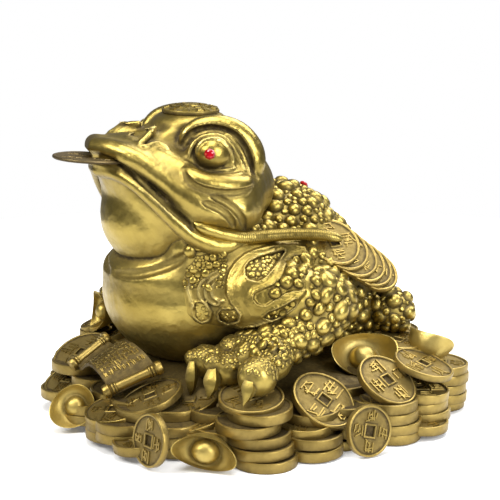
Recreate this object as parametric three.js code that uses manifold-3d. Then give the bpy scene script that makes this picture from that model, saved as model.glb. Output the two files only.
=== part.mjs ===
// A brass money toad: a three-legged toad on a round hoard of coins and ingots, cast in one piece,
// with a loose coin in its mouth, red stones for eyes and seven red stones down its back.
// Millimetres, +Z up. The toad faces -Y, its left side is +X, and the casting stands on z = 0.
import * as THREE from 'three';
import { mergeVertices } from 'three/addons/utils/BufferGeometryUtils.js';
import Module from 'manifold-3d';

const wasm = await Module();
wasm.setup();

// Driving dimensions
const TOAD_HEIGHT = 142; // from the table to the crown of the head
const HOARD_RADIUS = 102.5; // the round footprint of the hoard
const HOARD_SHIFT = 4.5; // how far the hoard's middle lies to the toad's left
const HOARD_COIN_DIAMETER = 27;
const HOARD_COIN_THICKNESS = 4.8;
const STRING_COIN_DIAMETER = 23; // the coins that hang on each flank
const STRING_COIN_THICKNESS = 2.6;
const INGOT_LENGTH = 27;
const MOUTH_COIN_DIAMETER = 33;
const MOUTH_COIN_THICKNESS = 1.4;
const MOUTH_COIN_HOLE = 7;
const EYE_STONE_DIAMETER = 5;
const BACK_STONE_DIAMETER = 4.6;
const BACK_STONE_COUNT = 7;
const ROLLER_DIAMETER = 4.6; // the rods of the scroll
const SCROLL_WIDTH = 38; // from roller to roller
const SCROLL_LENGTH = 27; // along the rollers
const STROKE_RISE = 0.9; // how far the strokes on the scroll stand out
const FACE_HOLE_SHARE = 0.26; // a coin's square hole, as a share of its diameter
const HOLE_DEPTH = 1.6; // how deep the holes of the hoard's coins are sunk
const CLEARANCE = 0.3; // between a loose piece and what holds it

// The toad is a free form: its places and sizes are steps of this grid, so it keeps its proportions.
const GRID_STEPS = 142;
const step = TOAD_HEIGHT / GRID_STEPS;
const at = (x, y, z) => new THREE.Vector3(x, y, z).multiplyScalar(step);
const radians = THREE.MathUtils.degToRad;
const EAST = new THREE.Vector3(1, 0, 0);
const UP = new THREE.Vector3(0, 0, 1);
const SIDES = [1, -1];
const bothSides = (make) => SIDES.map(make);

// Solids from geometries, and the joins between them

function solidOf(geometry) {
  geometry.deleteAttribute('normal');
  geometry.deleteAttribute('uv');
  const merged = mergeVertices(geometry, 1e-4);
  const index = Array.from(merged.index.array);
  const kept = [];
  for (let i = 0; i < index.length; i += 3) {
    const [a, b, c] = index.slice(i, i + 3);
    if (a !== b && b !== c && c !== a) kept.push(a, b, c);
  }
  return new wasm.Manifold(new wasm.Mesh({
    numProp: 3,
    vertProperties: new Float32Array(merged.attributes.position.array),
    triVerts: new Uint32Array(kept),
  }));
}

function geometryOf(solid) {
  const mesh = solid.getMesh();
  const geometry = new THREE.BufferGeometry();
  geometry.setAttribute('position', new THREE.BufferAttribute(mesh.vertProperties, 3));
  geometry.setIndex(new THREE.BufferAttribute(mesh.triVerts, 1));
  return geometry;
}

const joined = (solids) => solids.reduce((whole, solid) => whole.add(solid));

// Small hollows shut in between coins are solid metal in a casting: their shells face inwards and go.
const filled = (solid) => joined(solid.decompose().filter((shell) => shell.volume() > 0));

// Turns a geometry's +Z towards an axis after spinning it about +Z, and moves it to a place.
function placed(geometry, place, axis = UP, spin = 0) {
  geometry.rotateZ(spin);
  geometry.applyQuaternion(new THREE.Quaternion().setFromUnitVectors(UP, axis.clone().normalize()));
  geometry.translate(place.x, place.y, place.z);
  return geometry;
}

// A round solid from rows of [radius, height] that start and end on its axis.
function turned(profile, sides, place, axis, spin) {
  const geometry = new THREE.LatheGeometry(profile.map(([r, z]) => new THREE.Vector2(r, z)), sides);
  geometry.rotateX(Math.PI / 2);
  return solidOf(placed(geometry, place, axis, spin));
}

function block(size, place, axis, spin) {
  return solidOf(placed(new THREE.BoxGeometry(...size), place, axis, spin));
}

const ROUND_END = 0.6; // how far a roll's end stands out, as a share of its radius

// A roll follows a smooth path of [x, y, z, radius] rows on the toad's grid and has round ends.
function roll(path, { side = 1, sides = 6 } = {}) {
  const curve = new THREE.CatmullRomCurve3(path.map(([x, y, z]) => at(x * side, y, z)));
  const count = path.length - 1;
  const vertices = [];
  const triangles = [];
  let across = new THREE.Vector3(side, 0.2, 0.3);
  const ends = [];
  for (let i = 0; i <= count; i++) {
    const radius = path[i][3] * step;
    const centre = curve.getPoint(i / count);
    const tangent = curve.getTangent(i / count);
    across = across.addScaledVector(tangent, -across.dot(tangent)).normalize();
    const out = new THREE.Vector3().crossVectors(tangent, across);
    for (let k = 0; k < sides; k++) {
      const angle = (2 * Math.PI * k) / sides;
      vertices.push(centre.clone()
        .addScaledVector(across, Math.cos(angle) * radius)
        .addScaledVector(out, Math.sin(angle) * radius));
    }
    if (i === 0) ends.push(centre.clone().addScaledVector(tangent, -radius * ROUND_END));
    if (i === count) ends.push(centre.clone().addScaledVector(tangent, radius * ROUND_END));
  }
  const start = vertices.push(ends[0]) - 1;
  const end = vertices.push(ends[1]) - 1;
  for (let k = 0; k < sides; k++) {
    const next = (k + 1) % sides;
    triangles.push(start, next, k, end, count * sides + k, count * sides + next);
    for (let low = 0; low < count * sides; low += sides) {
      const high = low + sides;
      triangles.push(low + k, low + next, high + next, low + k, high + next, high + k);
    }
  }
  const geometry = new THREE.BufferGeometry().setFromPoints(vertices);
  geometry.setIndex(triangles);
  return solidOf(geometry);
}

const rolls = (path, options = {}) => bothSides((side) => roll(path, { ...options, side }));

function ball(centre, radius, detail = 1) {
  return solidOf(placed(new THREE.IcosahedronGeometry(radius, detail), centre));
}

// Forms: rough distances from a point to soft masses, in grid steps

function egg(centre, size, tilt = 0) {
  const sin = Math.sin(radians(tilt));
  const cos = Math.cos(radians(tilt));
  return (x, y, z) => {
    const dy = y - centre[1];
    const dz = z - centre[2];
    const u = (x - centre[0]) / size[0];
    const v = (cos * dy + sin * dz) / size[1];
    const w = (cos * dz - sin * dy) / size[2];
    const reach = Math.hypot(u, v, w);
    const slope = Math.hypot(u / size[0], v / size[1], w / size[2]);
    return slope > 0 ? (reach * (reach - 1)) / slope : -Math.min(...size);
  };
}

// A mass along [x, y, z, radius] rows, joined by straight tapering stretches.
function ridge(path) {
  return (x, y, z) => {
    let near = Infinity;
    for (let i = 1; i < path.length; i++) {
      const [ax, ay, az, ar] = path[i - 1];
      const [bx, by, bz, br] = path[i];
      const [dx, dy, dz] = [bx - ax, by - ay, bz - az];
      const along = ((x - ax) * dx + (y - ay) * dy + (z - az) * dz) / (dx * dx + dy * dy + dz * dz);
      const t = THREE.MathUtils.clamp(along, 0, 1);
      const away = Math.hypot(x - ax - t * dx, y - ay - t * dy, z - az - t * dz);
      near = Math.min(near, away - THREE.MathUtils.lerp(ar, br, t));
    }
    return near;
  };
}

// Masses melt into each other over a width of so many steps. Only the left half is listed.
function formOf(masses) {
  return (x, y, z) => {
    let near = Infinity;
    for (const [mass, width] of masses) {
      const far = mass(Math.abs(x), y, z);
      if (near === Infinity) {
        near = far;
        continue;
      }
      const mix = THREE.MathUtils.clamp(0.5 + (0.5 * (far - near)) / width, 0, 1);
      near = THREE.MathUtils.lerp(far, near, mix) - width * mix * (1 - mix);
    }
    return near;
  };
}

const FAR_OUT = 130;
const HIT = 0.02;

// Walks in from far out towards a centre and stops on the form's skin.
function skinPoint(form, centre, direction) {
  let reach = FAR_OUT;
  for (let i = 0; i < 200; i++) {
    const p = direction.clone().multiplyScalar(reach).add(centre);
    const gap = form(p.x, p.y, p.z);
    if (gap < HIT) return p;
    reach -= gap * 0.8;
  }
  return direction.clone().multiplyScalar(reach).add(centre);
}

function skinNormal(form, p) {
  const e = 0.5;
  return new THREE.Vector3(
    form(p.x + e, p.y, p.z) - form(p.x - e, p.y, p.z),
    form(p.x, p.y + e, p.z) - form(p.x, p.y - e, p.z),
    form(p.x, p.y, p.z + e) - form(p.x, p.y, p.z - e),
  ).normalize();
}

// Stretches an even net of triangles over a form, as seen from a centre inside it.
function skin(form, centre, detail) {
  const net = new THREE.IcosahedronGeometry(1, detail);
  net.deleteAttribute('normal');
  net.deleteAttribute('uv');
  const merged = mergeVertices(net, 1e-4);
  const spots = merged.attributes.position;
  for (let i = 0; i < spots.count; i++) {
    const direction = new THREE.Vector3().fromBufferAttribute(spots, i);
    const p = skinPoint(form, centre, direction).multiplyScalar(step);
    spots.setXYZ(i, p.x, p.y, p.z);
  }
  return solidOf(merged);
}

// Body and limbs

const bodyForm = formOf([
  [egg([0, 16, 55], [50, 58, 36], -28)], // trunk
  [egg([0, 22, 80], [30, 30, 17], -30), 10], // hump behind the head
  [egg([0, -28, 60], [45, 48, 40]), 14], // belly
  [egg([0, 50, 36], [40, 32, 25], -12), 16], // rump
  [egg([0, -34, 76], [39, 42.5, 9]), 4], // fold of the neck
  [egg([46, -22, 64], [20, 20, 18]), 8], // shoulder
]);
const BODY_CENTRE = new THREE.Vector3(0, 5, 52);

const UPPER_ARM = [
  [40, -22, 70, 15], [52, -22, 61, 17], [60, -6, 53, 16.5], [64, 12, 45, 14], [62, 20, 43, 10],
];
const FOREARM = [[63, 16, 42, 11], [60, -4, 38, 11.5], [54, -20, 32, 10.5], [50, -30, 27, 9]];
// Each toe ends in a hooked claw.
const TOES = [
  [[50, -30, 26, 7.5], [46, -42, 27, 6.5], [42.5, -50, 23, 4.6], [42, -54, 15, 1]],
  [[51, -30, 25, 7.5], [51, -41, 25, 6.5], [51, -50, 20, 4.6], [51, -54, 12, 1]],
  [[52, -26, 24, 7.5], [57, -31, 22, 7], [62.5, -35.5, 16, 4.8], [65, -38, 8, 1]],
];
const HIND_LEG = [[0, 48, 40, 22], [0, 68, 37, 18], [0, 82, 30, 14], [0, 88, 20, 9]];
const HIND_TOES = [-1, 0, 1].map((fan) => (
  [[fan * 5, 84, 18, 7], [fan * 11, 89, 16, 5], [fan * 15, 92, 12, 2]]
));

function limbs() {
  return [
    ...rolls(UPPER_ARM, { sides: 8 }),
    ...rolls(FOREARM, { sides: 7 }),
    ...TOES.flatMap((toe) => rolls(toe, { sides: 5 })),
    roll(HIND_LEG, { sides: 8 }),
    ...HIND_TOES.map((toe) => roll(toe, { sides: 5 })),
  ];
}

// Head

const UPPER_LIP = [
  [0, -79, 128.5, 4.4], [9, -76, 128.5, 4.4], [16, -72, 126, 4.4], [22, -67.5, 122, 4.4],
  [27, -62.5, 117, 4.4], [31.5, -57, 111.5, 4.4], [35.5, -51.5, 106.5, 4.4], [38.5, -46, 102.5, 4.6],
  [42, -38, 100, 4.4], [43, -30, 100, 4],
];
const LOWER_LIP = [
  [0, -77.6, 115.6, 2.9], [10, -75, 116, 3], [19, -70, 112.6, 3.6], [26.5, -64.5, 105.5, 4.2],
  [31.5, -60, 99, 4.6], [35.5, -55.5, 93, 5], [38.5, -50, 88, 5.4], [41, -43.5, 85, 5.8],
  [42.5, -36, 84, 6], [43, -29, 86, 5],
];
const MOUTH_LINE = [
  [0, -85, 121.7, 3.2], [9, -81.5, 121.8, 3], [17, -77, 119.6, 2.4], [24, -71.5, 115, 2],
  [30, -66, 109.5, 1.8], [35, -60.5, 103.5, 1.6], [39, -55, 98.5, 1.5],
];
const BROW = [
  [18.5, -44.5, 128.5, 2.4], [19, -43, 132.6, 2.8], [19.5, -37, 135.6, 3.4], [20.5, -28.5, 136.2, 4.2],
  [23.5, -20.5, 133, 5.2], [26.5, -15.5, 126.7, 6.2], [29.5, -13.6, 119.2, 6.2], [30.5, -13.6, 114.5, 4.4],
];
const EYE = [30, -36.5, 124];
const EYE_RADIUS = 8.6;
const GAZE = [0.78, -0.6, 0.14];
const EYE_POUCH = [
  [26.5, -48, 119, 2], [31, -47.5, 113.5, 3], [36, -42.5, 110, 3.4], [39, -35, 108.8, 3.6],
  [39, -27, 110, 3.2], [37, -21.5, 113.5, 2.4],
];
const NOSTRIL = [
  [12.5, -68, 128.5, 1.8], [15.5, -64, 130.5, 2.2], [16.5, -59, 132, 2.4], [15, -53, 130, 3],
  [13, -48, 128, 3],
];
const JOWL = [
  [37, -54, 90, 3], [39, -51, 83.5, 4], [41, -44, 79.5, 4.6], [44, -35, 79, 4.6], [45, -26, 82, 3],
];
const CHEEK_FOLDS = [
  [[40, -47, 107, 1.6], [43.5, -40.5, 104, 2.2], [45, -35.5, 98, 2.4], [41, -30, 92, 2]],
  [[42, -41, 109.5, 1.6], [44.5, -34, 106, 2.4], [45, -28, 99, 2.6], [41, -24, 92, 2]],
];

const headForm = formOf([
  [egg([0, -45.5, 98], [31, 32.5, 22])], // throat
  [egg([24, -44, 96], [15, 17, 17]), 6], // jaw
  [egg([0, -26, 107], [37, 33, 24], -12), 6], // skull
  [egg([0, -33, 124], [20, 20, 18]), 5], // crown
  [egg([0, -60, 120], [23, 23, 12], -8), 8], // snout
  [egg([28, -34, 103], [17, 22, 15]), 8], // cheek
  [egg([27, -35, 121], [9, 13, 13]), 3], // socket of the eye
  [ridge(UPPER_LIP), 4],
  [ridge(LOWER_LIP), 2],
  [ridge(EYE_POUCH), 2],
  [ridge(NOSTRIL), 2],
  [ridge(JOWL), 2],
  ...CHEEK_FOLDS.map((fold) => [ridge(fold), 1.5]),
]);
const HEAD_CENTRE = new THREE.Vector3(0, -38, 108);

// The whiskers run back like ropes from the corners of the mouth to the coins on the flanks.
const WHISKER = [
  [39.5, -51, 96.5, 3.2], [44, -38, 92, 3], [43, -20, 87.6, 2.7], [39.5, -2, 85.6, 2.6],
  [38.5, 14, 83.4, 2.5], [37.5, 26.5, 80, 1.8],
];

const CROWN_DISC = { place: [0, -32, 139.6], radius: 14, lean: [0, 0.07, 1] };

// A low disc on the crown with eight raised tiles.
function crownDisc() {
  const { place, radius, lean } = CROWN_DISC;
  const axis = new THREE.Vector3(...lean).normalize();
  const centre = at(...place);
  const r = radius * step;
  const solids = [turned([[0, -r / 2], [r, -r / 2], [r, 0], [0, r * 0.12]], 12, centre, axis)];
  const groups = 8;
  for (let group = 0; group < groups; group++) {
    const geometry = new THREE.BoxGeometry(r * 0.42, r * 0.3, r * 0.2);
    geometry.translate(r * 0.62, 0, r * 0.04);
    geometry.rotateZ((2 * Math.PI * group) / groups);
    solids.push(solidOf(placed(geometry, centre, axis)));
  }
  return solids;
}

function headRolls() {
  return [
    ...rolls(BROW, { sides: 5 }),
    ...rolls(WHISKER, { sides: 5 }),
    ...bothSides((side) => ball(at(EYE[0] * side, EYE[1], EYE[2]), EYE_RADIUS * step)),
  ];
}

// Carving on the shoulders: a broad flame that sends two tongues back over the arm
const FLAME = [
  [[60, -34, 53, 2.6], [54, -39, 63, 4.6], [50.5, -33, 76, 4.6], [46, -17, 81, 2.8], [40.5, 4, 79.5, 1.4]],
  [[57, -36, 66, 2.8], [59, -27, 71, 2.8], [43, 7, 75, 1]],
  [[58, -36.5, 58, 2.8], [65, -27, 63, 2.6], [68, -13, 66, 1]],
];

const shoulderCarving = () => FLAME.flatMap((tongue) => rolls(tongue, { sides: 4 }));

// Warts

const WART_SIDES = 4;
const WART_RINGS = 3;

function wart(p, normal, radius) {
  const geometry = new THREE.SphereGeometry(radius * step, WART_SIDES, WART_RINGS);
  geometry.rotateX(Math.PI / 2);
  return solidOf(placed(geometry, p.clone().multiplyScalar(step), normal, p.x + p.y));
}

// Warts cover the back in an even spiral, above a line that runs from the cheeks to the rump.
function backWarts() {
  const count = 120;
  const golden = Math.PI * (3 - Math.sqrt(5));
  const solids = [];
  for (let i = 0; i < count; i++) {
    const height = 1 - (2 * (i + 0.5)) / count;
    const angle = i * golden;
    const ring = Math.sqrt(1 - height * height);
    const direction = new THREE.Vector3(ring * Math.cos(angle), ring * Math.sin(angle), height);
    const p = skinPoint(bodyForm, BODY_CENTRE, direction);
    const out = Math.abs(p.x);
    const behindHead = p.y > -8 - 0.15 * p.z;
    const aboveFlank = p.z > 40 && p.z < 104;
    const clearOfArm = p.y > 26 || p.z > 84;
    const clearOfStones = out > 4.5;
    const underCoins = out > 20 && p.y > 18 && p.y < 70 && p.z < 92 - 0.2 * p.y && p.z > 88 - 0.78 * p.y;
    if (!behindHead || !aboveFlank || !clearOfArm || !clearOfStones || underCoins) continue;
    solids.push(wart(p, skinNormal(bodyForm, p), 4.7 + 0.9 * Math.sin(i * 2.3)));
  }
  return solids;
}

// Warts in rings around a stretch of a limb, on its outer side.
function limbWarts(path, side, { from, to, rings, perRing, spread, radius, lift }) {
  const curve = new THREE.CatmullRomCurve3(path.map(([x, y, z]) => new THREE.Vector3(x, y, z)));
  const solids = [];
  for (let ring = 0; ring < rings; ring++) {
    const t = THREE.MathUtils.lerp(from, to, rings > 1 ? ring / (rings - 1) : 0);
    const along = t * (path.length - 1);
    const span = Math.min(Math.floor(along), path.length - 2);
    const girth = THREE.MathUtils.lerp(path[span][3], path[span + 1][3], along - span);
    const centre = curve.getPoint(t);
    const tangent = curve.getTangent(t);
    const out = new THREE.Vector3(1, 0, 0).addScaledVector(tangent, -tangent.x).normalize();
    const over = new THREE.Vector3().crossVectors(tangent, out);
    if (over.z < 0) over.negate();
    for (let k = 0; k < perRing; k++) {
      const angle = radians(lift + spread * ((k + 0.5 * (ring % 2)) / perRing - 0.5));
      const normal = out.clone().multiplyScalar(Math.cos(angle)).addScaledVector(over, Math.sin(angle));
      const p = centre.clone().addScaledVector(normal, girth);
      p.x *= side;
      normal.x *= side;
      solids.push(wart(p, normal, radius * (1 + 0.22 * Math.sin(ring * 2.1 + k * 1.7))));
    }
  }
  return solids;
}

const WARTS_ON_ARM = { from: 0.55, to: 0.9, rings: 3, perRing: 2, spread: 110, radius: 4.7, lift: 40 };
const WARTS_ON_FOREARM = { from: 0.2, to: 0.65, rings: 2, perRing: 1, spread: 90, radius: 4.2, lift: 15 };
const WARTS_ON_HIND_LEG = { from: 0.5, to: 0.85, rings: 2, perRing: 1, spread: 110, radius: 4.7, lift: 35 };

const allLimbWarts = () => bothSides((side) => [
  ...limbWarts(UPPER_ARM, side, WARTS_ON_ARM),
  ...limbWarts(FOREARM, side, WARTS_ON_FOREARM),
  ...limbWarts(HIND_LEG, side, WARTS_ON_HIND_LEG),
]).flat();

// Coins, ingots and the scroll

function coin({ diameter, thickness, place, axis, spin = 0, sides = 10, holed = true }) {
  const r = diameter / 2;
  const top = thickness / 2;
  const solid = turned([[0, -top], [r, -top], [r, top], [0, top]], sides, place, axis, spin);
  if (!holed) return solid;
  const hole = diameter * FACE_HOLE_SHARE;
  const mouth = place.clone().addScaledVector(axis.clone().normalize(), top);
  return solid.subtract(block([hole, hole, 2 * HOLE_DEPTH], mouth, axis, spin));
}

// An axis that leans by so many degrees from upright towards a compass turn from +X.
function leaning(lean, turn) {
  const axis = new THREE.Vector3().setFromSphericalCoords(1, radians(lean), radians(turn + 90));
  return axis.applyAxisAngle(EAST, Math.PI / 2);
}

// The middle of the hoard's underside
const HOARD_CENTRE = new THREE.Vector3(HOARD_SHIFT, 0, 0);

// A place on the hoard: a turn from +X, a share of the hoard's radius and a height in layers of coins.
function onHoard(turn, share, layers) {
  const height = layers * HOARD_COIN_THICKNESS;
  return leaning(90, turn).multiplyScalar(HOARD_RADIUS * share).add(HOARD_CENTRE).setZ(height);
}

// A boat-shaped ingot: an oval hull with raised ends and a dome in its hollow top.
function ingot(place, axis, spin) {
  const half = INGOT_LENGTH / 2;
  const profile = [[0, -0.5], [0.75, -0.25], [1, 0.16], [0.55, 0.02], [0.4, 0.3], [0, 0.42]];
  const points = profile.map(([r, z]) => new THREE.Vector2(r * half, z * half));
  const geometry = new THREE.LatheGeometry(points, 8);
  geometry.rotateX(Math.PI / 2);
  geometry.scale(1, 0.66, 1);
  const spots = geometry.attributes.position;
  for (let i = 0; i < spots.count; i++) {
    const outward = Math.abs(spots.getX(i)) / half;
    spots.setZ(i, spots.getZ(i) + half * 0.32 * outward ** 3);
  }
  return solidOf(placed(geometry, place, axis, spin));
}

const MOUND_LAYERS = 5.9;
const MOUND_HEIGHT = MOUND_LAYERS * HOARD_COIN_THICKNESS;
const rimCoinCentre = HOARD_RADIUS - HOARD_COIN_DIAMETER / 2;
const rimShare = rimCoinCentre / HOARD_RADIUS;

// The heaped middle of the hoard, which the toad sits in and every coin touches.
function mound() {
  const edge = HOARD_RADIUS - HOARD_COIN_DIAMETER * 0.42;
  const profile = [
    [0, 0], [edge, 0], [edge, MOUND_HEIGHT * 0.34], [edge * 0.95, MOUND_HEIGHT * 0.6],
    [edge * 0.84, MOUND_HEIGHT * 0.84], [edge * 0.6, MOUND_HEIGHT], [0, MOUND_HEIGHT],
  ];
  return turned(profile, 20, HOARD_CENTRE);
}

// Stacks of coins stand around the rim: [turn, coins in the stack].
const STACKS = [
  [-62, 2], [-44, 2], [-29, 5], [-11, 2], [8, 3], [26, 5], [42, 3], [62, 2], [85, 2], [108, 2], [131, 2],
  [154, 2], [177, 2], [200, 2], [224, 2], [248, 3], [274, 1],
];

function stacks() {
  return STACKS.flatMap(([turn, count], stack) => Array.from({ length: count }, (_, level) => {
    const shift = 0.012 * Math.sin(stack * 5 + level * 2.6);
    const sway = 1.2 * Math.sin(stack * 3 + level * 4.1);
    return coin({
      diameter: HOARD_COIN_DIAMETER,
      thickness: HOARD_COIN_THICKNESS * 1.02,
      place: onHoard(turn + sway, rimShare + shift, level + 0.5),
      axis: UP,
      spin: radians(turn),
      sides: 7,
      holed: false,
    });
  }));
}

// Coins that lie and lean on the hoard: [turn, share of the radius, layers up, lean, towards, size].
const LOOSE_COINS = [
  [-111, 0.843, 4, 25, -80, 1], [-106.7, 0.912, 2, 24, -80, 0.9], [-63.6, 0.809, 4, 19, -101, 1.05],
  [-56, 0.965, 2.4, 78, -80, 0.88], [-50.8, 0.8, 3.4, 14, -60, 1], [-31.5, 0.875, 5.35, 6, -30, 1.06],
  [-9.7, 0.84, 4.1, 38, 11, 1.12], [0.7, 0.93, 2.4, 80, 6, 0.88], [12.4, 0.844, 4.5, 35, 14, 1],
  [28.4, 0.86, 5.5, 17, 37, 1.02], [63, 0.88, 2.71, 34, 62, 1.1], [98, 0.88, 2.71, 36, 98, 1.1],
  [134, 0.88, 2.71, 34, 134, 1.1], [168, 0.88, 2.71, 36, 168, 1.1], [208, 0.88, 2.92, 30, 208, 1.1],
];

const looseCoins = () => LOOSE_COINS.map(([turn, share, layers, lean, towards, size], i) => coin({
  diameter: HOARD_COIN_DIAMETER * size,
  thickness: HOARD_COIN_THICKNESS * 0.9,
  place: onHoard(turn, share, layers),
  axis: leaning(lean, towards),
  spin: radians(37 * i),
  holed: lean > 24,
}));

// Ingots among the coins: [turn, share of the radius, layers up, lean, towards, spin].
const INGOTS = [
  [-90, 0.915, 2.08, 48, -60, 30], [-43, 0.945, 1.6, 60, -30, 20], [12.5, 0.72, 5.7, 28, -46, 40],
  [41, 0.82, 4.9, 30, 46, 80],
];

const ingots = () => INGOTS.map(([turn, share, layers, lean, towards, spin]) => (
  ingot(onHoard(turn, share, layers), leaning(lean, towards), radians(spin))
));

// The scroll lies open over the coins in front of the belly, between two rollers.
const SCROLL = { turn: -81.3, share: 0.75, layers: 5.6, climb: 20, yaw: 4 };

// The sheet's wave from roller to roller: [along, up], both as shares of its width.
const SCROLL_WAVE = [[-0.5, 0.12], [-0.3, 0.07], [0, 0.145], [0.25, 0.145], [0.4, 0.03], [0.5, -0.08]];
const SCROLL_DEPTH = 0.26; // the solid below the sheet, as a share of its width

function scroll() {
  const { turn, share, layers, climb, yaw } = SCROLL;
  const centre = onHoard(turn, share, layers);
  const lie = (geometry) => {
    geometry.rotateX(radians(climb));
    geometry.rotateZ(radians(yaw));
    return solidOf(placed(geometry, centre));
  };
  const wave = new THREE.SplineCurve(
    SCROLL_WAVE.map(([u, v]) => new THREE.Vector2(u, v).multiplyScalar(SCROLL_WIDTH)),
  );
  const top = wave.getPoints(6);
  const under = [...top].reverse().map((p) => new THREE.Vector2(p.x, p.y - SCROLL_DEPTH * SCROLL_WIDTH));
  const between = SCROLL_LENGTH * 0.86;
  const outline = new THREE.Shape([...top, ...under]);
  const sheet = new THREE.ExtrudeGeometry(outline, { depth: between, bevelEnabled: false });
  sheet.rotateX(Math.PI / 2);
  sheet.translate(0, between / 2, 0);
  const solids = [lie(sheet)];
  for (const end of [0, 1]) {
    const p = wave.getPoint(end);
    const r = ROLLER_DIAMETER / 2;
    const knob = r * 1.35;
    const half = SCROLL_LENGTH / 2;
    const profile = [
      [0, -half], [knob, -half], [knob, -half * 0.86], [r, -half * 0.8],
      [r, half * 0.8], [knob, half * 0.86], [knob, half], [0, half],
    ];
    const rod = new THREE.LatheGeometry(profile.map(([x, y]) => new THREE.Vector2(x, y)), 7);
    rod.translate(p.x, 0, p.y);
    solids.push(lie(rod));
  }
  for (const column of [0, 1, 2]) {
    for (const row of [0, 1]) {
      const p = wave.getPoint(0.28 + 0.17 * column);
      const long = SCROLL_LENGTH * ((column + row) % 2 ? 0.18 : 0.3);
      const stroke = new THREE.BoxGeometry(SCROLL_WIDTH * 0.037, long, 2 * STROKE_RISE);
      stroke.translate(p.x, SCROLL_LENGTH * 0.4 * (row - 0.5), p.y);
      solids.push(lie(stroke));
    }
  }
  return solids;
}

// Coins hang on each flank, lapped like roof tiles.
const STRING_COINS = [[34, 27, 77.5], [32, 38.5, 71.5], [30.5, 49, 64.5], [30.5, 58.5, 57.5]];

function coinStrings() {
  return bothSides((side) => STRING_COINS.map(([x, y, z], i) => coin({
    diameter: STRING_COIN_DIAMETER * (1 - 0.03 * i),
    thickness: STRING_COIN_THICKNESS,
    place: at(x * side, y, z),
    axis: new THREE.Vector3(0.74 * side, 0.1 + 0.04 * i, 0.62),
    sides: 8,
    holed: i === 0,
  }))).flat();
}

// Stones

// A cut stone: a flat table, sloping facets and a pointed back.
function stoneSolid(diameter, place, axis) {
  const r = diameter / 2;
  return turned([[0, -r * 0.8], [r, 0], [r, r * 0.12], [r * 0.6, r * 0.5], [0, r * 0.5]], 6, place, axis);
}

// The seat is the stone's own shape let out by the clearance, and open above.
function stoneSeat(diameter, place, axis) {
  const r = diameter / 2 + CLEARANCE;
  return turned([[0, -r * 0.8 - CLEARANCE], [r, -CLEARANCE], [r, r], [0, r]], 6, place, axis);
}

const gaze = new THREE.Vector3(...GAZE).normalize();

function eyeStones() {
  return SIDES.map((side) => {
    const axis = new THREE.Vector3(gaze.x * side, gaze.y, gaze.z);
    const sunk = EYE_STONE_DIAMETER * 0.1;
    return {
      name: side > 0 ? 'eye_stone_left' : 'eye_stone_right',
      diameter: EYE_STONE_DIAMETER,
      place: at(EYE[0] * side, EYE[1], EYE[2]).addScaledVector(axis, EYE_RADIUS * step - sunk),
      axis,
    };
  });
}

// Seven stones run down the spine in the bent line of the Big Dipper.
const DIPPER = [[0, 12], [2.5, 22], [-1, 32], [1.5, 42], [9, 51], [5, 62], [-6, 58]];

function backStones() {
  return DIPPER.slice(0, BACK_STONE_COUNT).map(([x, y], i) => {
    const from = new THREE.Vector3(x, y * 0.75, 50);
    const aim = new THREE.Vector3(0, 0.25 + 0.012 * y, 1).normalize();
    const p = skinPoint(bodyForm, from, aim);
    const axis = skinNormal(bodyForm, p);
    return {
      name: `back_stone_${i + 1}`,
      diameter: BACK_STONE_DIAMETER,
      place: p.multiplyScalar(step),
      axis,
    };
  });
}

// The coin in the mouth

const MOUTH_COIN_SIDES = 20;
const MOUTH_COIN_LIFT = 5; // degrees, the tip higher than the back
const mouthCoinAxis = leaning(MOUTH_COIN_LIFT, 90);
const outOfMouth = leaning(90 - MOUTH_COIN_LIFT, -90);

// The coin's back edge stays at its place between the lips, and the rest stands out of the mouth.
const mouthCoinPlace = at(0, -66.1, 120.2).addScaledVector(outOfMouth, MOUTH_COIN_DIAMETER / 2);

// A disc in the coin's place, let out all round by a gap.
function mouthDisc(gap) {
  const r = MOUTH_COIN_DIAMETER / 2 + gap;
  const half = MOUTH_COIN_THICKNESS / 2 + gap;
  const profile = [[0, -half], [r, -half], [r, half], [0, half]];
  return turned(profile, MOUTH_COIN_SIDES, mouthCoinPlace, mouthCoinAxis);
}

function mouthCoin() {
  const hole = [MOUTH_COIN_HOLE, MOUTH_COIN_HOLE, 2 * MOUTH_COIN_THICKNESS];
  return mouthDisc(0).subtract(block(hole, mouthCoinPlace, mouthCoinAxis, radians(8)));
}

// Assembly

function casting(stones) {
  let toad = joined([
    skin(headForm, HEAD_CENTRE, 7),
    skin(bodyForm, BODY_CENTRE, 4),
    ...limbs(),
    ...headRolls(),
  ]);
  toad = toad.subtract(joined(rolls(MOUTH_LINE, { sides: 4 })));
  const carved = [
    ...crownDisc(), ...shoulderCarving(), ...backWarts(), ...allLimbWarts(), ...coinStrings(),
  ];
  const hoard = [mound(), ...stacks(), ...looseCoins(), ...ingots(), ...scroll()];
  let whole = joined([toad, ...carved, ...hoard]);
  whole = whole.subtract(mouthDisc(CLEARANCE));
  const seats = stones.map(({ diameter, place, axis }) => stoneSeat(diameter, place, axis));
  whole = whole.subtract(joined(seats));
  const table = 4 * HOARD_RADIUS;
  return filled(whole.subtract(block([table, table, table], new THREE.Vector3(0, 0, -table / 2))));
}

const BRASS = new THREE.MeshStandardMaterial({ color: 0xa08a45, roughness: 0.38, metalness: 1 });
const COIN_BRASS = new THREE.MeshStandardMaterial({ color: 0x857448, roughness: 0.45, metalness: 1 });
const RED_STONE = new THREE.MeshStandardMaterial({ color: 0xc4161c, roughness: 0.12, metalness: 0 });

function named(name, solid, material) {
  const mesh = new THREE.Mesh(geometryOf(solid), material);
  mesh.name = name;
  return mesh;
}

const stones = [...eyeStones(), ...backStones()];
const part = new THREE.Group();
part.add(named('toad_casting', casting(stones), BRASS));
part.add(named('mouth_coin', mouthCoin(), COIN_BRASS));
for (const { name, diameter, place, axis } of stones) {
  part.add(named(name, stoneSolid(diameter, place, axis), RED_STONE));
}

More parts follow.
